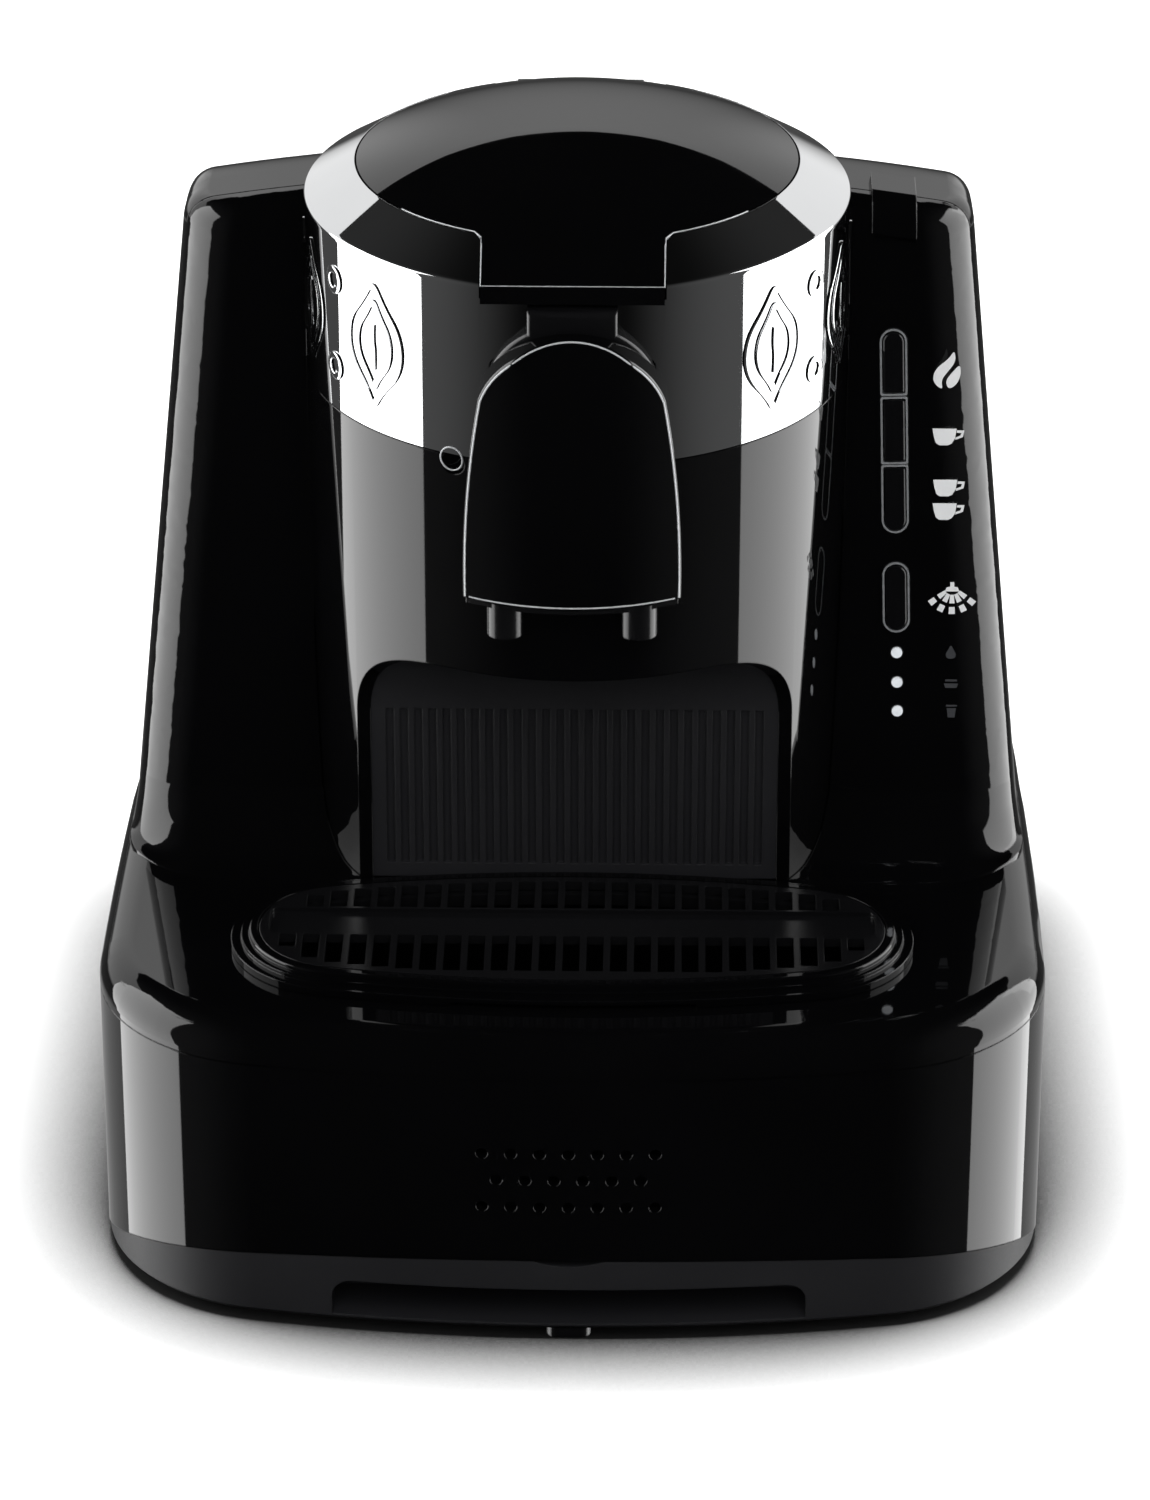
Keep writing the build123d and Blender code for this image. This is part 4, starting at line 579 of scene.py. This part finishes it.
@dataclass
class Studio:
    """Camera, room, floor, board and lamps.

    Args:
        eye: Camera position in metres.
        look: Viewing direction.
        focal_px: Focal length in pixels of the frame.
        frame_px: Width of the frame in pixels.
        sensor_mm: Width of the sensor.
        room: Brightness of the dark room ahead and at its sides.
        room_side: Shares of sideways direction between which the room brightens.
        floor: The white floor.
        board: The white board behind the object.
        lamps: The lamps.
    """

    eye: Point3 = (0.02257, -1.32296, 0.76689)
    look: Point3 = (-0.01555, 0.8909, -0.45399)
    focal_px: float = 6210.0
    frame_px: float = 1150.0
    sensor_mm: float = 36.0
    room: Pair = (0.004, 0.085)
    room_side: Pair = (0.3, 0.97)
    floor: Floor = Floor()
    board: Board = Board()
    lamps: tuple[SoftBox | FillLamp, ...] = (
        SoftBox("strip_left", -92, 1.3, (1.25, 2.3), 0.22, (3.6, 2.6)),
        SoftBox("strip_right", 100, 1.3, (1.3, 2.3), 0.22, (2.6, 3.6)),
        FillLamp("front_fill", 1.6, 4.5, (0.1, -1.3, 1.35), (0.0, 0.0, 0.12)),
    )

    def camera(self) -> None:
        """Place the camera above the front, looking down on the crown and the tray."""
        cam = bpy.data.cameras.new("camera")
        cam.sensor_fit = "HORIZONTAL"
        cam.sensor_width = self.sensor_mm
        cam.lens = self.focal_px / self.frame_px * self.sensor_mm
        cam.clip_end = 50.0
        ob = bpy.data.objects.new("camera", cam)
        forward = Vector(self.look).normalized()
        right = forward.cross(UP).normalized()
        turn = Matrix((right, right.cross(forward), -forward)).transposed().to_4x4()
        ob.matrix_world = Matrix.Translation(self.eye) @ turn
        bpy.context.scene.collection.objects.link(ob)
        bpy.context.scene.camera = ob

    def surround(self) -> None:
        """Set the dark room whose sides are faintly lit, so polished curves shade off softly."""
        world = bpy.data.worlds.new("studio")
        world.use_nodes = True
        tree = world.node_tree
        way = add_node(tree, "TexCoord").outputs["Generated"]
        along_x = add_node(tree, "SeparateXYZ", None, {"Vector": way}).outputs["X"]
        side = add_node(tree, "Math", {"operation": "ABSOLUTE"}, {FIRST: along_x})
        glow = add_node(tree, "MapRange",
                        {"interpolation_type": "SMOOTHSTEP", "From Min": self.room_side[0],
                         "From Max": self.room_side[1], "To Min": self.room[0],
                         "To Max": self.room[1]}, {"Value": side.outputs[0]})
        tree.links.new(glow.outputs[0], tree.nodes["Background"].inputs["Strength"])
        tree.nodes["Background"].inputs["Color"].default_value = (1, 1, 1, 1)
        bpy.context.scene.world = world

    def build(self) -> None:
        """Set up the whole studio."""
        bpy.context.scene.view_settings.view_transform = "Standard"
        self.surround()
        self.camera()
        self.floor.build()
        self.board.build()
        for lamp in self.lamps:
            lamp.build()


# ---- making and placing pieces
def finish_mesh(name: str, bm: BMesh, mat: Material, body: Body,
                smooth_deg: float = 40.0) -> Object:
    """Turn a bmesh into a piece that rides on a body.

    Args:
        name: Piece name.
        bm: The mesh in metres, in its place, freed here.
        mat: Its material.
        body: The body it rides on.
        smooth_deg: Edges sharper than this stay sharp.

    Returns:
        The piece.
    """
    mesh = bpy.data.meshes.new(name)
    bm.to_mesh(mesh)
    bm.free()
    mesh.materials.append(mat)
    ob = bpy.data.objects.new(name, mesh)
    bpy.context.scene.collection.objects.link(ob)
    mesh.shade_smooth()
    mesh.set_sharp_from_angle(angle=radians(smooth_deg))
    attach(ob, body.value)
    LOG.info("built %s", name)
    return ob


def add_spline(curve: bpy.types.Curve, points: list[Point] | list[Point3], closed: bool,
               smooth: bool = False) -> None:
    """Add one spline to a curve.

    Args:
        curve: The curve data.
        points: Its points in millimetres, on the XY plane where they have no z.
        closed: Whether its ends join.
        smooth: Whether the points steer a smooth curve, instead of being joined by straight runs.
    """
    spline = curve.splines.new("NURBS" if smooth else "POLY")
    spline.points.add(len(points) - 1)
    for p, co in zip(spline.points, points):
        p.co = (*Vector(co).to_3d(), 1)
    if smooth:
        spline.order_u = 3
        spline.use_endpoint_u = not closed
    spline.use_cyclic_u = closed


def curve_bmesh(curve: bpy.types.Curve) -> BMesh:
    """Turn a curve into a clean bmesh and drop the curve.

    Args:
        curve: The curve data.

    Returns:
        Its mesh, with doubles merged and normals outward.
    """
    ob = bpy.data.objects.new(curve.name, curve)
    bpy.context.scene.collection.objects.link(ob)
    bpy.context.view_layer.update()
    graph = bpy.context.evaluated_depsgraph_get()
    mesh = bpy.data.meshes.new_from_object(ob.evaluated_get(graph))
    bm = bmesh.new()
    bm.from_mesh(mesh)
    bmesh.ops.remove_doubles(bm, verts=bm.verts, dist=MERGE)
    bmesh.ops.recalc_face_normals(bm, faces=bm.faces)
    bpy.data.objects.remove(ob)
    bpy.data.curves.remove(curve)
    bpy.data.meshes.remove(mesh)
    return bm


def stroke_mesh(lines: list[tuple[Outline, bool]], width: float) -> BMesh:
    """Make smooth drawn strokes into one rounded mesh on the XY plane.

    Args:
        lines: Points of each stroke in millimetres, and whether it closes.
        width: Stroke width in millimetres.

    Returns:
        A bmesh in millimetres.
    """
    curve = bpy.data.curves.new("strokes", "CURVE")
    curve.dimensions = "3D"
    curve.bevel_depth = width / 2
    curve.bevel_resolution = 5
    curve.resolution_u = 6
    curve.use_fill_caps = True
    for points, closed in lines:
        add_spline(curve, points, closed, smooth=True)
    return curve_bmesh(curve)


def line_mesh(lines: list[list[Point3]], width: float) -> BMesh:
    """Make fine round lines through points in space into one mesh.

    Args:
        lines: Points of each line in millimetres.
        width: Line width in millimetres.

    Returns:
        A bmesh in metres.
    """
    curve = bpy.data.curves.new("lines", "CURVE")
    curve.dimensions = "3D"
    curve.bevel_depth = width / 2
    curve.bevel_resolution = 2
    curve.use_fill_caps = True
    for points in lines:
        add_spline(curve, points, closed=False)
    bm = curve_bmesh(curve)
    bmesh.ops.scale(bm, vec=(MM, MM, MM), verts=bm.verts)
    return bm


def fill_mesh(outlines: list[Outline], thick: float) -> BMesh:
    """Make filled flat shapes into one thin mesh on the XY plane.

    Args:
        outlines: Closed outlines in millimetres; an outline inside another is a hole.
        thick: Thickness in millimetres.

    Returns:
        A bmesh in millimetres.
    """
    curve = bpy.data.curves.new("fills", "CURVE")
    curve.dimensions = "2D"
    curve.fill_mode = "BOTH"
    curve.extrude = thick / 2
    for points in outlines:
        add_spline(curve, points, closed=True)
    return curve_bmesh(curve)


def round_points(radius: float, step_deg: int) -> Outline:
    """Give points round a circle, step_deg degrees apart."""
    return [(radius * cos(radians(t)), radius * sin(radians(t))) for t in range(0, 360, step_deg)]


# ---- sub-assemblies
@dataclass
class CadDress:
    """Puts the finishes on the CAD nodes.

    Args:
        finishes: Built materials by slot.
        special: Materials of single nodes, by node name.
    """

    finishes: dict[Slot, Material] = field(default_factory=dict)
    special: dict[str, Material] = field(default_factory=dict)

    def build(self) -> None:
        """Give every CAD node the material of its slot, or its own."""
        by_name = {slot.value: slot for slot in self.finishes}
        for name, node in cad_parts.items():
            for material_slot in node.material_slots:
                key = by_name.get(material_slot.name.split(".")[0])
                if key is not None:
                    material_slot.material = self.special.get(name, self.finishes[key])
            LOG.info("dressed %s", name)


@dataclass
class CrownRing:
    """The chrome ring round the top, with its raised ornament and round mark.

    Args:
        chrome: Chrome material.
        arris: Material of the painted highlights on thin edges.
        steps: Facets round the full ring.
        rim_r: Rounding between the wall and the shoulder.
        seat_r: Rounding of the mouth round the lid.
        seat_depth: Depth of the mouth's upright wall.
        shoulder_t: Drop of the shoulder's underside from the rim, at the inner wall.
        sharp_deg: Edges of the ring sharper than this stay sharp.
        tongue_y: Ends of the notch for the lid's tongue.
        tongue_depth: Depth of that notch below the rim.
        hinge_x: Half width of the notch for the lid's hinge.
        hinge_y: Ends of that notch.
        hinge_depth: Depth of that notch below the hinge's axis.
        notch_top: Height that clears the ring.
        motifs: Azimuths of the leaf outlines, degrees from the front.
        line: Width of the raised lines.
        flat: Height at which the raised lines' round tops are flattened.
        core: Size of the leaf's inner outline as shares of the outer one's width and height.
        dot_r: Radius of the small rings between the leaves.
        dot_rise: Height of the small rings above and below the band's middle.
        dot_gap: Gaps between leaves wider than this many degrees stay bare.
        mark_r: Radius of the round mark.
        mark_line: Width of its line.
        mark_azimuth: Its place, degrees from the front.
        mark_drop: Its height below the foot of the ring.
    """

    chrome: Material
    arris: Material
    steps: int = 240
    rim_r: float = 0.5
    seat_r: float = 0.15
    seat_depth: float = 3.0
    shoulder_t: float = 1.6
    sharp_deg: float = 28.0
    tongue_y: Pair = (-85.0, -36.8)
    tongue_depth: float = 3.2
    hinge_x: float = 20.0
    hinge_y: Pair = (41.4, 57.4)
    hinge_depth: float = 4.0
    notch_top: float = 260.0
    motifs: tuple[float, ...] = (-130, -102, -74, -46, 46, 74, 102, 130)
    line: float = 1.7
    flat: float = 0.42
    core: Pair = (0.62, 0.72)
    dot_r: float = 2.7
    dot_rise: float = 10.5
    dot_gap: float = 40.0
    mark_r: float = 2.85
    mark_line: float = 0.42
    mark_azimuth: float = -25.8
    mark_drop: float = 1.2

    def wall(self) -> None:
        """Spin the wall and shoulder, and cut the notches of the lid's tongue and hinge."""
        rim, seat = Vector((Size.RING_R, Size.RING_TOP)), Vector((Size.SEAT_R, Size.LID_SEAM_Z))
        slope = (seat - rim).normalized()
        inner = Size.RING_R - Size.RING_T
        # the points beside the rim and the seat hold the mirror faces true next to their roundings
        profile = [
            (inner, Size.RING_BOT), (Size.RING_R, Size.RING_BOT),
            (Size.RING_R, Size.RING_BOT + 20), (Size.RING_R, Size.RING_TOP - 1.0),
            tuple(rim), tuple(rim + slope), tuple(seat - slope * 0.5), tuple(seat),
            (Size.SEAT_R, Size.LID_SEAM_Z - 0.5), (Size.SEAT_R, Size.LID_SEAM_Z - self.seat_depth),
            (inner, Size.RING_TOP - self.shoulder_t),
        ]
        bm = bmesh.new()
        verts = [bm.verts.new((r, 0, z)) for r, z in profile]
        for pair in zip(verts, verts[1:] + verts[:1]):
            bm.edges.new(pair)
        for corner, offset in ((rim, self.rim_r), (seat, self.seat_r)):
            bmesh.ops.bevel(bm, geom=[verts[profile.index(tuple(corner))]], offset=offset,
                            affect="VERTICES", segments=5, profile=0.5, material=-1)
        bmesh.ops.spin(bm, geom=bm.verts[:] + bm.edges[:], cent=(0, 0, 0), axis=UP,
                       angle=FULL_TURN, steps=self.steps, use_merge=True)
        bmesh.ops.remove_doubles(bm, verts=bm.verts, dist=MERGE)
        bmesh.ops.recalc_face_normals(bm, faces=bm.faces)
        bmesh.ops.scale(bm, vec=(MM, MM, MM), verts=bm.verts)
        half = Size.TONGUE_X + Size.MOVE
        tongue = ((-half, self.tongue_y[0], Size.RING_TOP - self.tongue_depth),
                  (half, self.tongue_y[1], self.notch_top))
        hinge = ((-self.hinge_x, self.hinge_y[0], Size.HINGE_Z - self.hinge_depth),
                 (self.hinge_x, self.hinge_y[1], self.notch_top))
        ring = finish_mesh("crown_ring_polished", self.cut(bm, (tongue, hinge)), self.chrome,
                           Body.HOUSING, self.sharp_deg)
        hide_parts("crown_ring")

    def cut(self, bm: BMesh, boxes: tuple[tuple[Point3, Point3], ...]) -> BMesh:
        """Cut boxes out of a closed mesh.

        Args:
            bm: The closed mesh in metres, freed here.
            boxes: Lowest and highest corner of each box in millimetres.

        Returns:
            The cut mesh.
        """
        tool = bmesh.new()
        for low, high in boxes:
            lo, hi = Vector(low) * MM, Vector(high) * MM
            place = Matrix.Translation((lo + hi) / 2) @ Matrix.Diagonal((*(hi - lo), 1))
            bmesh.ops.create_cube(tool, size=1.0, matrix=place)
        pair = []
        for name, source in (("ring_blank", bm), ("ring_tool", tool)):
            mesh = bpy.data.meshes.new(name)
            source.to_mesh(mesh)
            source.free()
            ob = bpy.data.objects.new(name, mesh)
            bpy.context.scene.collection.objects.link(ob)
            pair.append(ob)
        blank, cutter = pair
        modifier = blank.modifiers.new("notches", "BOOLEAN")
        modifier.operation = "DIFFERENCE"
        modifier.solver = "EXACT"
        modifier.object = cutter
        bpy.context.view_layer.update()
        graph = bpy.context.evaluated_depsgraph_get()
        mesh = bpy.data.meshes.new_from_object(blank.evaluated_get(graph))
        out = bmesh.new()
        out.from_mesh(mesh)
        for ob in pair:
            data = ob.data
            bpy.data.objects.remove(ob)
            bpy.data.meshes.remove(data)
        bpy.data.meshes.remove(mesh)
        return out

    def wrap(self, bm: BMesh, azimuth: float, mid_z: float) -> None:
        """Lay a flat ornament on the ring's wall.

        Args:
            bm: The ornament in millimetres, x along the wall and y up.
            azimuth: Place round the ring, degrees from the front.
            mid_z: Height of the ornament's origin.
        """
        for v in bm.verts:
            turn = radians(azimuth) + v.co.x / Size.RING_R
            r = Size.RING_R + min(v.co.z, self.flat)
            v.co = Vector((sin(turn) * r, -cos(turn) * r, mid_z + v.co.y)) * MM

    def ornament(self) -> None:
        """Raise a plain band of pointed leaf outlines with small rings between them."""
        leaf = [(0, -15.5), (-2.2, -11.5), (-8.8, -4.5), (-8.6, 4.0), (-3.4, 10.0), (0, 15.5),
                (3.4, 10.0), (8.6, 4.0), (8.8, -4.5), (2.2, -11.5)]
        core = [(x * self.core[0], y * self.core[1]) for x, y in leaf]
        vein = [(0, -6.0), (0.3, -2.0), (-0.3, 1.5), (0, 5.0)]
        mid = (Size.RING_TOP + Size.RING_BOT) / 2
        for i, azimuth in enumerate(self.motifs):
            bm = stroke_mesh([(leaf, True), (core, True), (vein, False)], self.line)
            self.wrap(bm, azimuth, mid)
            finish_mesh(f"ring_leaf_{i + 1}", bm, self.chrome, Body.HOUSING)
        gaps = [(a + b) / 2 for a, b in zip(self.motifs, self.motifs[1:]) if b - a < self.dot_gap]
        for i, azimuth in enumerate(gaps):
            for k, rise in enumerate((-self.dot_rise, self.dot_rise)):
                bm = stroke_mesh([(round_points(self.dot_r, 45), True)], self.line)
                self.wrap(bm, azimuth, mid + rise)
                finish_mesh(f"ring_dot_{i + 1}_{k + 1}", bm, self.chrome, Body.HOUSING)

    def mark(self) -> None:
        """Set the round mark at the foot of the ring, its fine circle drawn in the painted
        highlight.
        """
        # painted highlight: the mark's circle is a light-grey line
        bm = stroke_mesh([(round_points(self.mark_r, 30), True)], self.mark_line)
        self.wrap(bm, self.mark_azimuth, Size.RING_BOT - self.mark_drop)
        finish_mesh("round_mark", bm, self.arris, Body.HOUSING)

    def build(self) -> None:
        """Build the ring, its ornament and its mark."""
        self.wall()
        self.ornament()
        self.mark()


@dataclass
class ShieldEdge:
    """A painted highlight: the fine light-grey line round the spout shield's front, in place of the
    light its rounded edge catches.

    Args:
        arris: Material of the painted highlights on thin edges.
        inset: Distance of the line inside the outline.
        width: Width of the line.
        sunk: Depth of the line's middle behind the face.
        neck: Half width of the arch where its sides meet its crown, as a share of the foot's.
        waist: The same share halfway up the sides.
        neck_drop: Height of the neck below the top.
        waist_drop: Height of the waist below the top.
        foot: Height of the lower line above the shield's lower edge.
        foot_x: Half length of the lower line.
        roll_drop: Height below the top where the face starts to roll back.
        roll: How far back the face rolls, over how much height, and how sharply.
    """

    arris: Material
    inset: float = 0.55
    width: float = 0.5
    sunk: float = 0.12
    neck: float = 0.848
    waist: float = 0.922
    neck_drop: float = 14.9
    waist_drop: float = 27.0
    foot: float = 0.3
    foot_x: int = 23
    roll_drop: float = 16.0
    roll: Point3 = (4.6, 16.5, 2.2)

    def front_y(self, x: float, z: float) -> float:
        """Give the depth of the shield's front face.

        Args:
            x: Distance from the middle plane.
            z: Height.

        Returns:
            The y of the face in millimetres.
        """
        y = Size.SPOUT_Y + Size.SPOUT_FRONT_R - sqrt(Size.SPOUT_FRONT_R**2 - x * x)
        start = Size.SPOUT_TOP - self.roll_drop
        if z > start:
            back, run, power = self.roll
            y = max(y, Size.SPOUT_Y + back * ((z - start) / run) ** power)
        return y

    def arc(self, a: Point, b: Point, c: Point, count: int) -> Outline:
        """Give points on the arc through three points.

        Args:
            a: First end.
            b: A point between.
            c: Last end.
            count: Number of spans.

        Returns:
            The points, ends included.
        """
        pa, pb, pc = Vector(a), Vector(b), Vector(c)
        aa, bb, cc = pa.dot(pa), pb.dot(pb), pc.dot(pc)
        d = 2 * (pa.x * (pb.y - pc.y) + pb.x * (pc.y - pa.y) + pc.x * (pa.y - pb.y))
        mid = Vector(((aa * (pb.y - pc.y) + bb * (pc.y - pa.y) + cc * (pa.y - pb.y)) / d,
                      (aa * (pc.x - pb.x) + bb * (pa.x - pc.x) + cc * (pb.x - pa.x)) / d))
        start = pa - mid
        turn = start.angle_signed(pc - mid)
        if turn * start.angle_signed(pb - mid) < 0:
            turn -= FULL_TURN if turn > 0 else -FULL_TURN
        return [tuple(mid + Matrix.Rotation(-turn * i / count, 2) @ start)
                for i in range(count + 1)]

    def outline(self) -> Outline:
        """Follow the arch from the lower right over the top to the lower left.

        Returns:
            Points (x, z) of the arch.
        """
        half, top = Size.SPOUT_X - self.inset, Size.SPOUT_TOP - self.inset
        neck, waist = self.neck * half, self.waist * half
        neck_z = Size.SPOUT_TOP - self.neck_drop - self.inset * 0.3
        waist_z = Size.SPOUT_TOP - self.waist_drop
        side = self.arc((half, Size.SPOUT_BOT + self.foot), (waist, waist_z), (neck, neck_z), 12)
        crown = self.arc((neck, neck_z), (0, top), (-neck, neck_z), 28)
        return side + crown[1:] + [(-x, z) for x, z in reversed(side)][1:]

    def build(self) -> None:
        """Lay the line along the arch and along the lower edge."""
        base = [(x, Size.SPOUT_BOT + self.foot) for x in range(-self.foot_x, self.foot_x + 1, 2)]
        lines = [[(x, self.front_y(x, z) + self.sunk, z) for x, z in points]
                 for points in (self.outline(), base)]
        # painted highlight along the shield's edges
        finish_mesh("shield_edge_highlight", line_mesh(lines, self.width), self.arris, Body.SHIELD)


@dataclass
class TongueLine:
    """A painted highlight: the fine light-grey line round the lid's grip tongue and the front of
    its seam, in place of the light its edges catch.

    Args:
        arris: Material of the painted highlights on thin edges.
        width: Width of the line.
        sweep: How far the line follows the seam, degrees from the front.
        spans: Number of spans along the seam.
        side: Points down the tongue's side: distance outside its edge, y and z.
        nose: Distance of the front line inside the ring's wall, and its height above the rim.
    """

    arris: Material
    width: float = 0.34
    sweep: float = 50.0
    spans: int = 12
    side: tuple[Point3, ...] = ((0.1, -48.2, 244.4), (0.02, -51.6, 244.0))
    nose: Point = (0.8, 0.85)

    def half(self) -> list[Point3]:
        """Follow the line's right half, from the seam to the tongue's front edge.

        Returns:
            Its points in millimetres.
        """
        corner = degrees(asin(Size.TONGUE_X / Size.LID_R))
        turns = [self.sweep + (corner - self.sweep) * i / self.spans for i in range(self.spans)]
        seam = [(sin(radians(t)) * Size.LID_R, -cos(radians(t)) * Size.LID_R, Size.LID_SEAM_Z)
                for t in turns]
        side = [(Size.TONGUE_X + out, y, z) for out, y, z in self.side]
        return seam + side + [(Size.TONGUE_X, -(Size.RING_R - self.nose[0]),
                               Size.RING_TOP + self.nose[1])]

    def build(self) -> None:
        """Lay the line on the lid."""
        right = self.half()
        left = [(-x, y, z) for x, y, z in reversed(right)]
        # painted highlight along the tongue's edges
        finish_mesh("tongue_edge_highlight", line_mesh([right + left], self.width), self.arris,
                    Body.LID)


@dataclass
class Pictograms:
    """Printed symbols beside the keys and lamps.

    Args:
        ink: Ink of the key symbols.
        dim: Ink of the warning symbols.
        thick: Thickness of the print.
        ray_turns: Directions of the rinse spray's rays, degrees from straight down.
        ray_parts: Near and far end of each ray's two dashes, with half its width at both.
    """

    ink: Material
    dim: Material
    thick: float = 0.06
    ray_turns: tuple[float, ...] = (-52, -26, 0, 26, 52)
    ray_parts: tuple[tuple[Point, Point], ...] = (((1.9, 4.0), (0.42, 0.62)),
                                                  ((4.9, 6.6), (0.66, 0.74)))

    def place(self, bm: BMesh, name: str, x: float, z: float, mat: Material) -> None:
        """Put a flat symbol on the leaning face.

        Args:
            bm: The symbol in millimetres, x to the right and y up.
            name: Piece name.
            x: Middle across the machine.
            z: Height of its middle.
            mat: Its ink.
        """
        run = sqrt(1 + Size.LEAN**2)
        normal = Vector((0, -1 / run, Size.LEAN / run))
        along = Vector((0, Size.LEAN / run, 1 / run))
        foot = Vector((x, Size.FACE_Y - Size.LEAN * (Size.FACE_Z - z), z)) + normal * self.thick / 2
        for v in bm.verts:
            v.co = (foot + Vector((1, 0, 0)) * v.co.x + along * v.co.y + normal * v.co.z) * MM
        finish_mesh(name, bm, mat, Body.HOUSING)

    def bowed(self, points: Outline, spans: int = 6) -> Outline:
        """Round an outline by running a closed smooth curve along its points.

        Args:
            points: Control points in millimetres.
            spans: Spans for each control point.

        Returns:
            Points of the smooth outline.
        """
        out = []
        n = len(points)
        for i in range(n):
            a, b, c = (Vector(points[(i + k) % n]) for k in (-1, 0, 1))
            start, end = (a + b) / 2, (b + c) / 2
            for k in range(spans):
                t = k / spans
                out.append(tuple(start * (1 - t) ** 2 + b * 2 * t * (1 - t) + end * t * t))
        return out

    def flame(self) -> list[Outline]:
        """Give the outlines of a flame of two tongues."""
        return [self.bowed([(-0.6, -4.6), (-3.2, -2.6), (-2.6, 0.6), (0.6, 3.0), (1.8, 5.2),
                            (2.2, 2.4), (0.4, 0.0), (-1.2, -2.2)]),
                self.bowed([(0.6, -4.4), (-0.2, -2.2), (1.6, 0.0), (3.2, 1.8), (3.4, -0.8),
                            (2.6, -3.0)])]

    def cup(self, x: float, y: float) -> list[Outline]:
        """Give the outlines of a small cup with a handle on its right.

        Args:
            x: Offset across.
            y: Offset up.

        Returns:
            Closed outlines.
        """
        bowl = [(-3.4, 2.0), (2.2, 2.0), (1.9, -0.3), (1.1, -1.6), (0.2, -2.0), (-1.8, -2.0),
                (-2.6, -1.4), (-3.1, 0.2)]
        grip = [(2.3, 1.6), (4.0, 1.6), (3.7, 0.0), (1.9, -0.7), (2.0, -0.1), (3.1, 0.3),
                (3.3, 1.0), (2.25, 1.0)]
        return [[(px + x, py + y) for px, py in shape] for shape in (bowl, grip)]

    def spray(self) -> list[Outline]:
        """Give the outlines of a nozzle above a fan of dashed rays.

        Returns:
            Closed outlines.
        """
        nozzle = [(-1.7, 2.3), (1.7, 2.3), (1.3, 3.3), (0.45, 3.5), (0.45, 4.6), (-0.45, 4.6),
                  (-0.45, 3.5), (-1.3, 3.3)]
        origin = Vector((0, 3.4))
        rays = []
        for deg in self.ray_turns:
            turn = Matrix.Rotation(radians(-deg), 2)
            for (near, far), (slim, wide) in self.ray_parts:
                dash = ((-slim, -near), (slim, -near), (wide, -far), (-wide, -far))
                rays.append([tuple(turn @ Vector(p) + origin) for p in dash])
        return rays + [nozzle]

    def drop(self) -> list[Outline]:
        """Give the outline of a water drop."""
        return [self.bowed([(0, 1.9), (-0.6, 0.6), (-1.3, -0.5), (-0.9, -1.6), (0.9, -1.6),
                            (1.3, -0.5), (0.6, 0.6)])]

    def build(self) -> None:
        """Print every symbol."""
        tray = [[(-1.4, 0.9), (1.4, 0.9), (1.4, 0.4), (-1.4, 0.4)],
                [(-1.7, -0.1), (1.7, -0.1), (1.3, -1.2), (-1.3, -1.2)]]
        waste = [[(-1.3, 1.1), (1.3, 1.1), (1.3, 1.5), (-1.3, 1.5)],
                 [(-1.1, 0.7), (1.1, 0.7), (0.8, -1.6), (-0.8, -1.6)]]
        for name, shape, x, z, mat in (
            ("symbol_boil", self.flame(), 85.4, 192.9, self.ink),
            ("symbol_one_cup", self.cup(0, 0), 85.9, 177.4, self.ink),
            ("symbol_two_cups", self.cup(0, 3.1) + self.cup(0, -2.6), 86.3, 162.2, self.ink),
            ("symbol_rinse", self.spray(), 87.9, 138.2, self.ink),
            ("symbol_water", self.drop(), 87.9, 125.8, self.dim),
            ("symbol_tray", tray, 88.1, 118.3, self.dim),
            ("symbol_waste", waste, 88.3, 111.5, self.dim),
        ):
            self.place(fill_mesh(shape, self.thick), name, x, z, mat)


def main() -> None:
    """Build every sub-assembly in order."""
    logging.basicConfig(level=logging.INFO, format="%(message)s")
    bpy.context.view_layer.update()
    finishes = {slot: finish.build() for slot, finish in FINISHES.items()}
    # the painted highlight laid along thin edges
    arris = ARRIS_HIGHLIGHT.build()
    Studio().build()
    gloss = finishes[Slot.GLOSS]
    # the key frames carry the painted highlight
    special = {"button_bezel": FRAME_HIGHLIGHT.build(), "finger_tab": gloss, "drip_tray": gloss,
               "lid": LID_GLOSS.build()}
    CadDress(finishes, special).build()
    CrownRing(finishes[Slot.CHROME], arris).build()
    ShieldEdge(arris).build()
    TongueLine(arris).build()
    Pictograms(INK.build(), DIM_INK.build()).build()


if __name__ == "__main__":
    main()
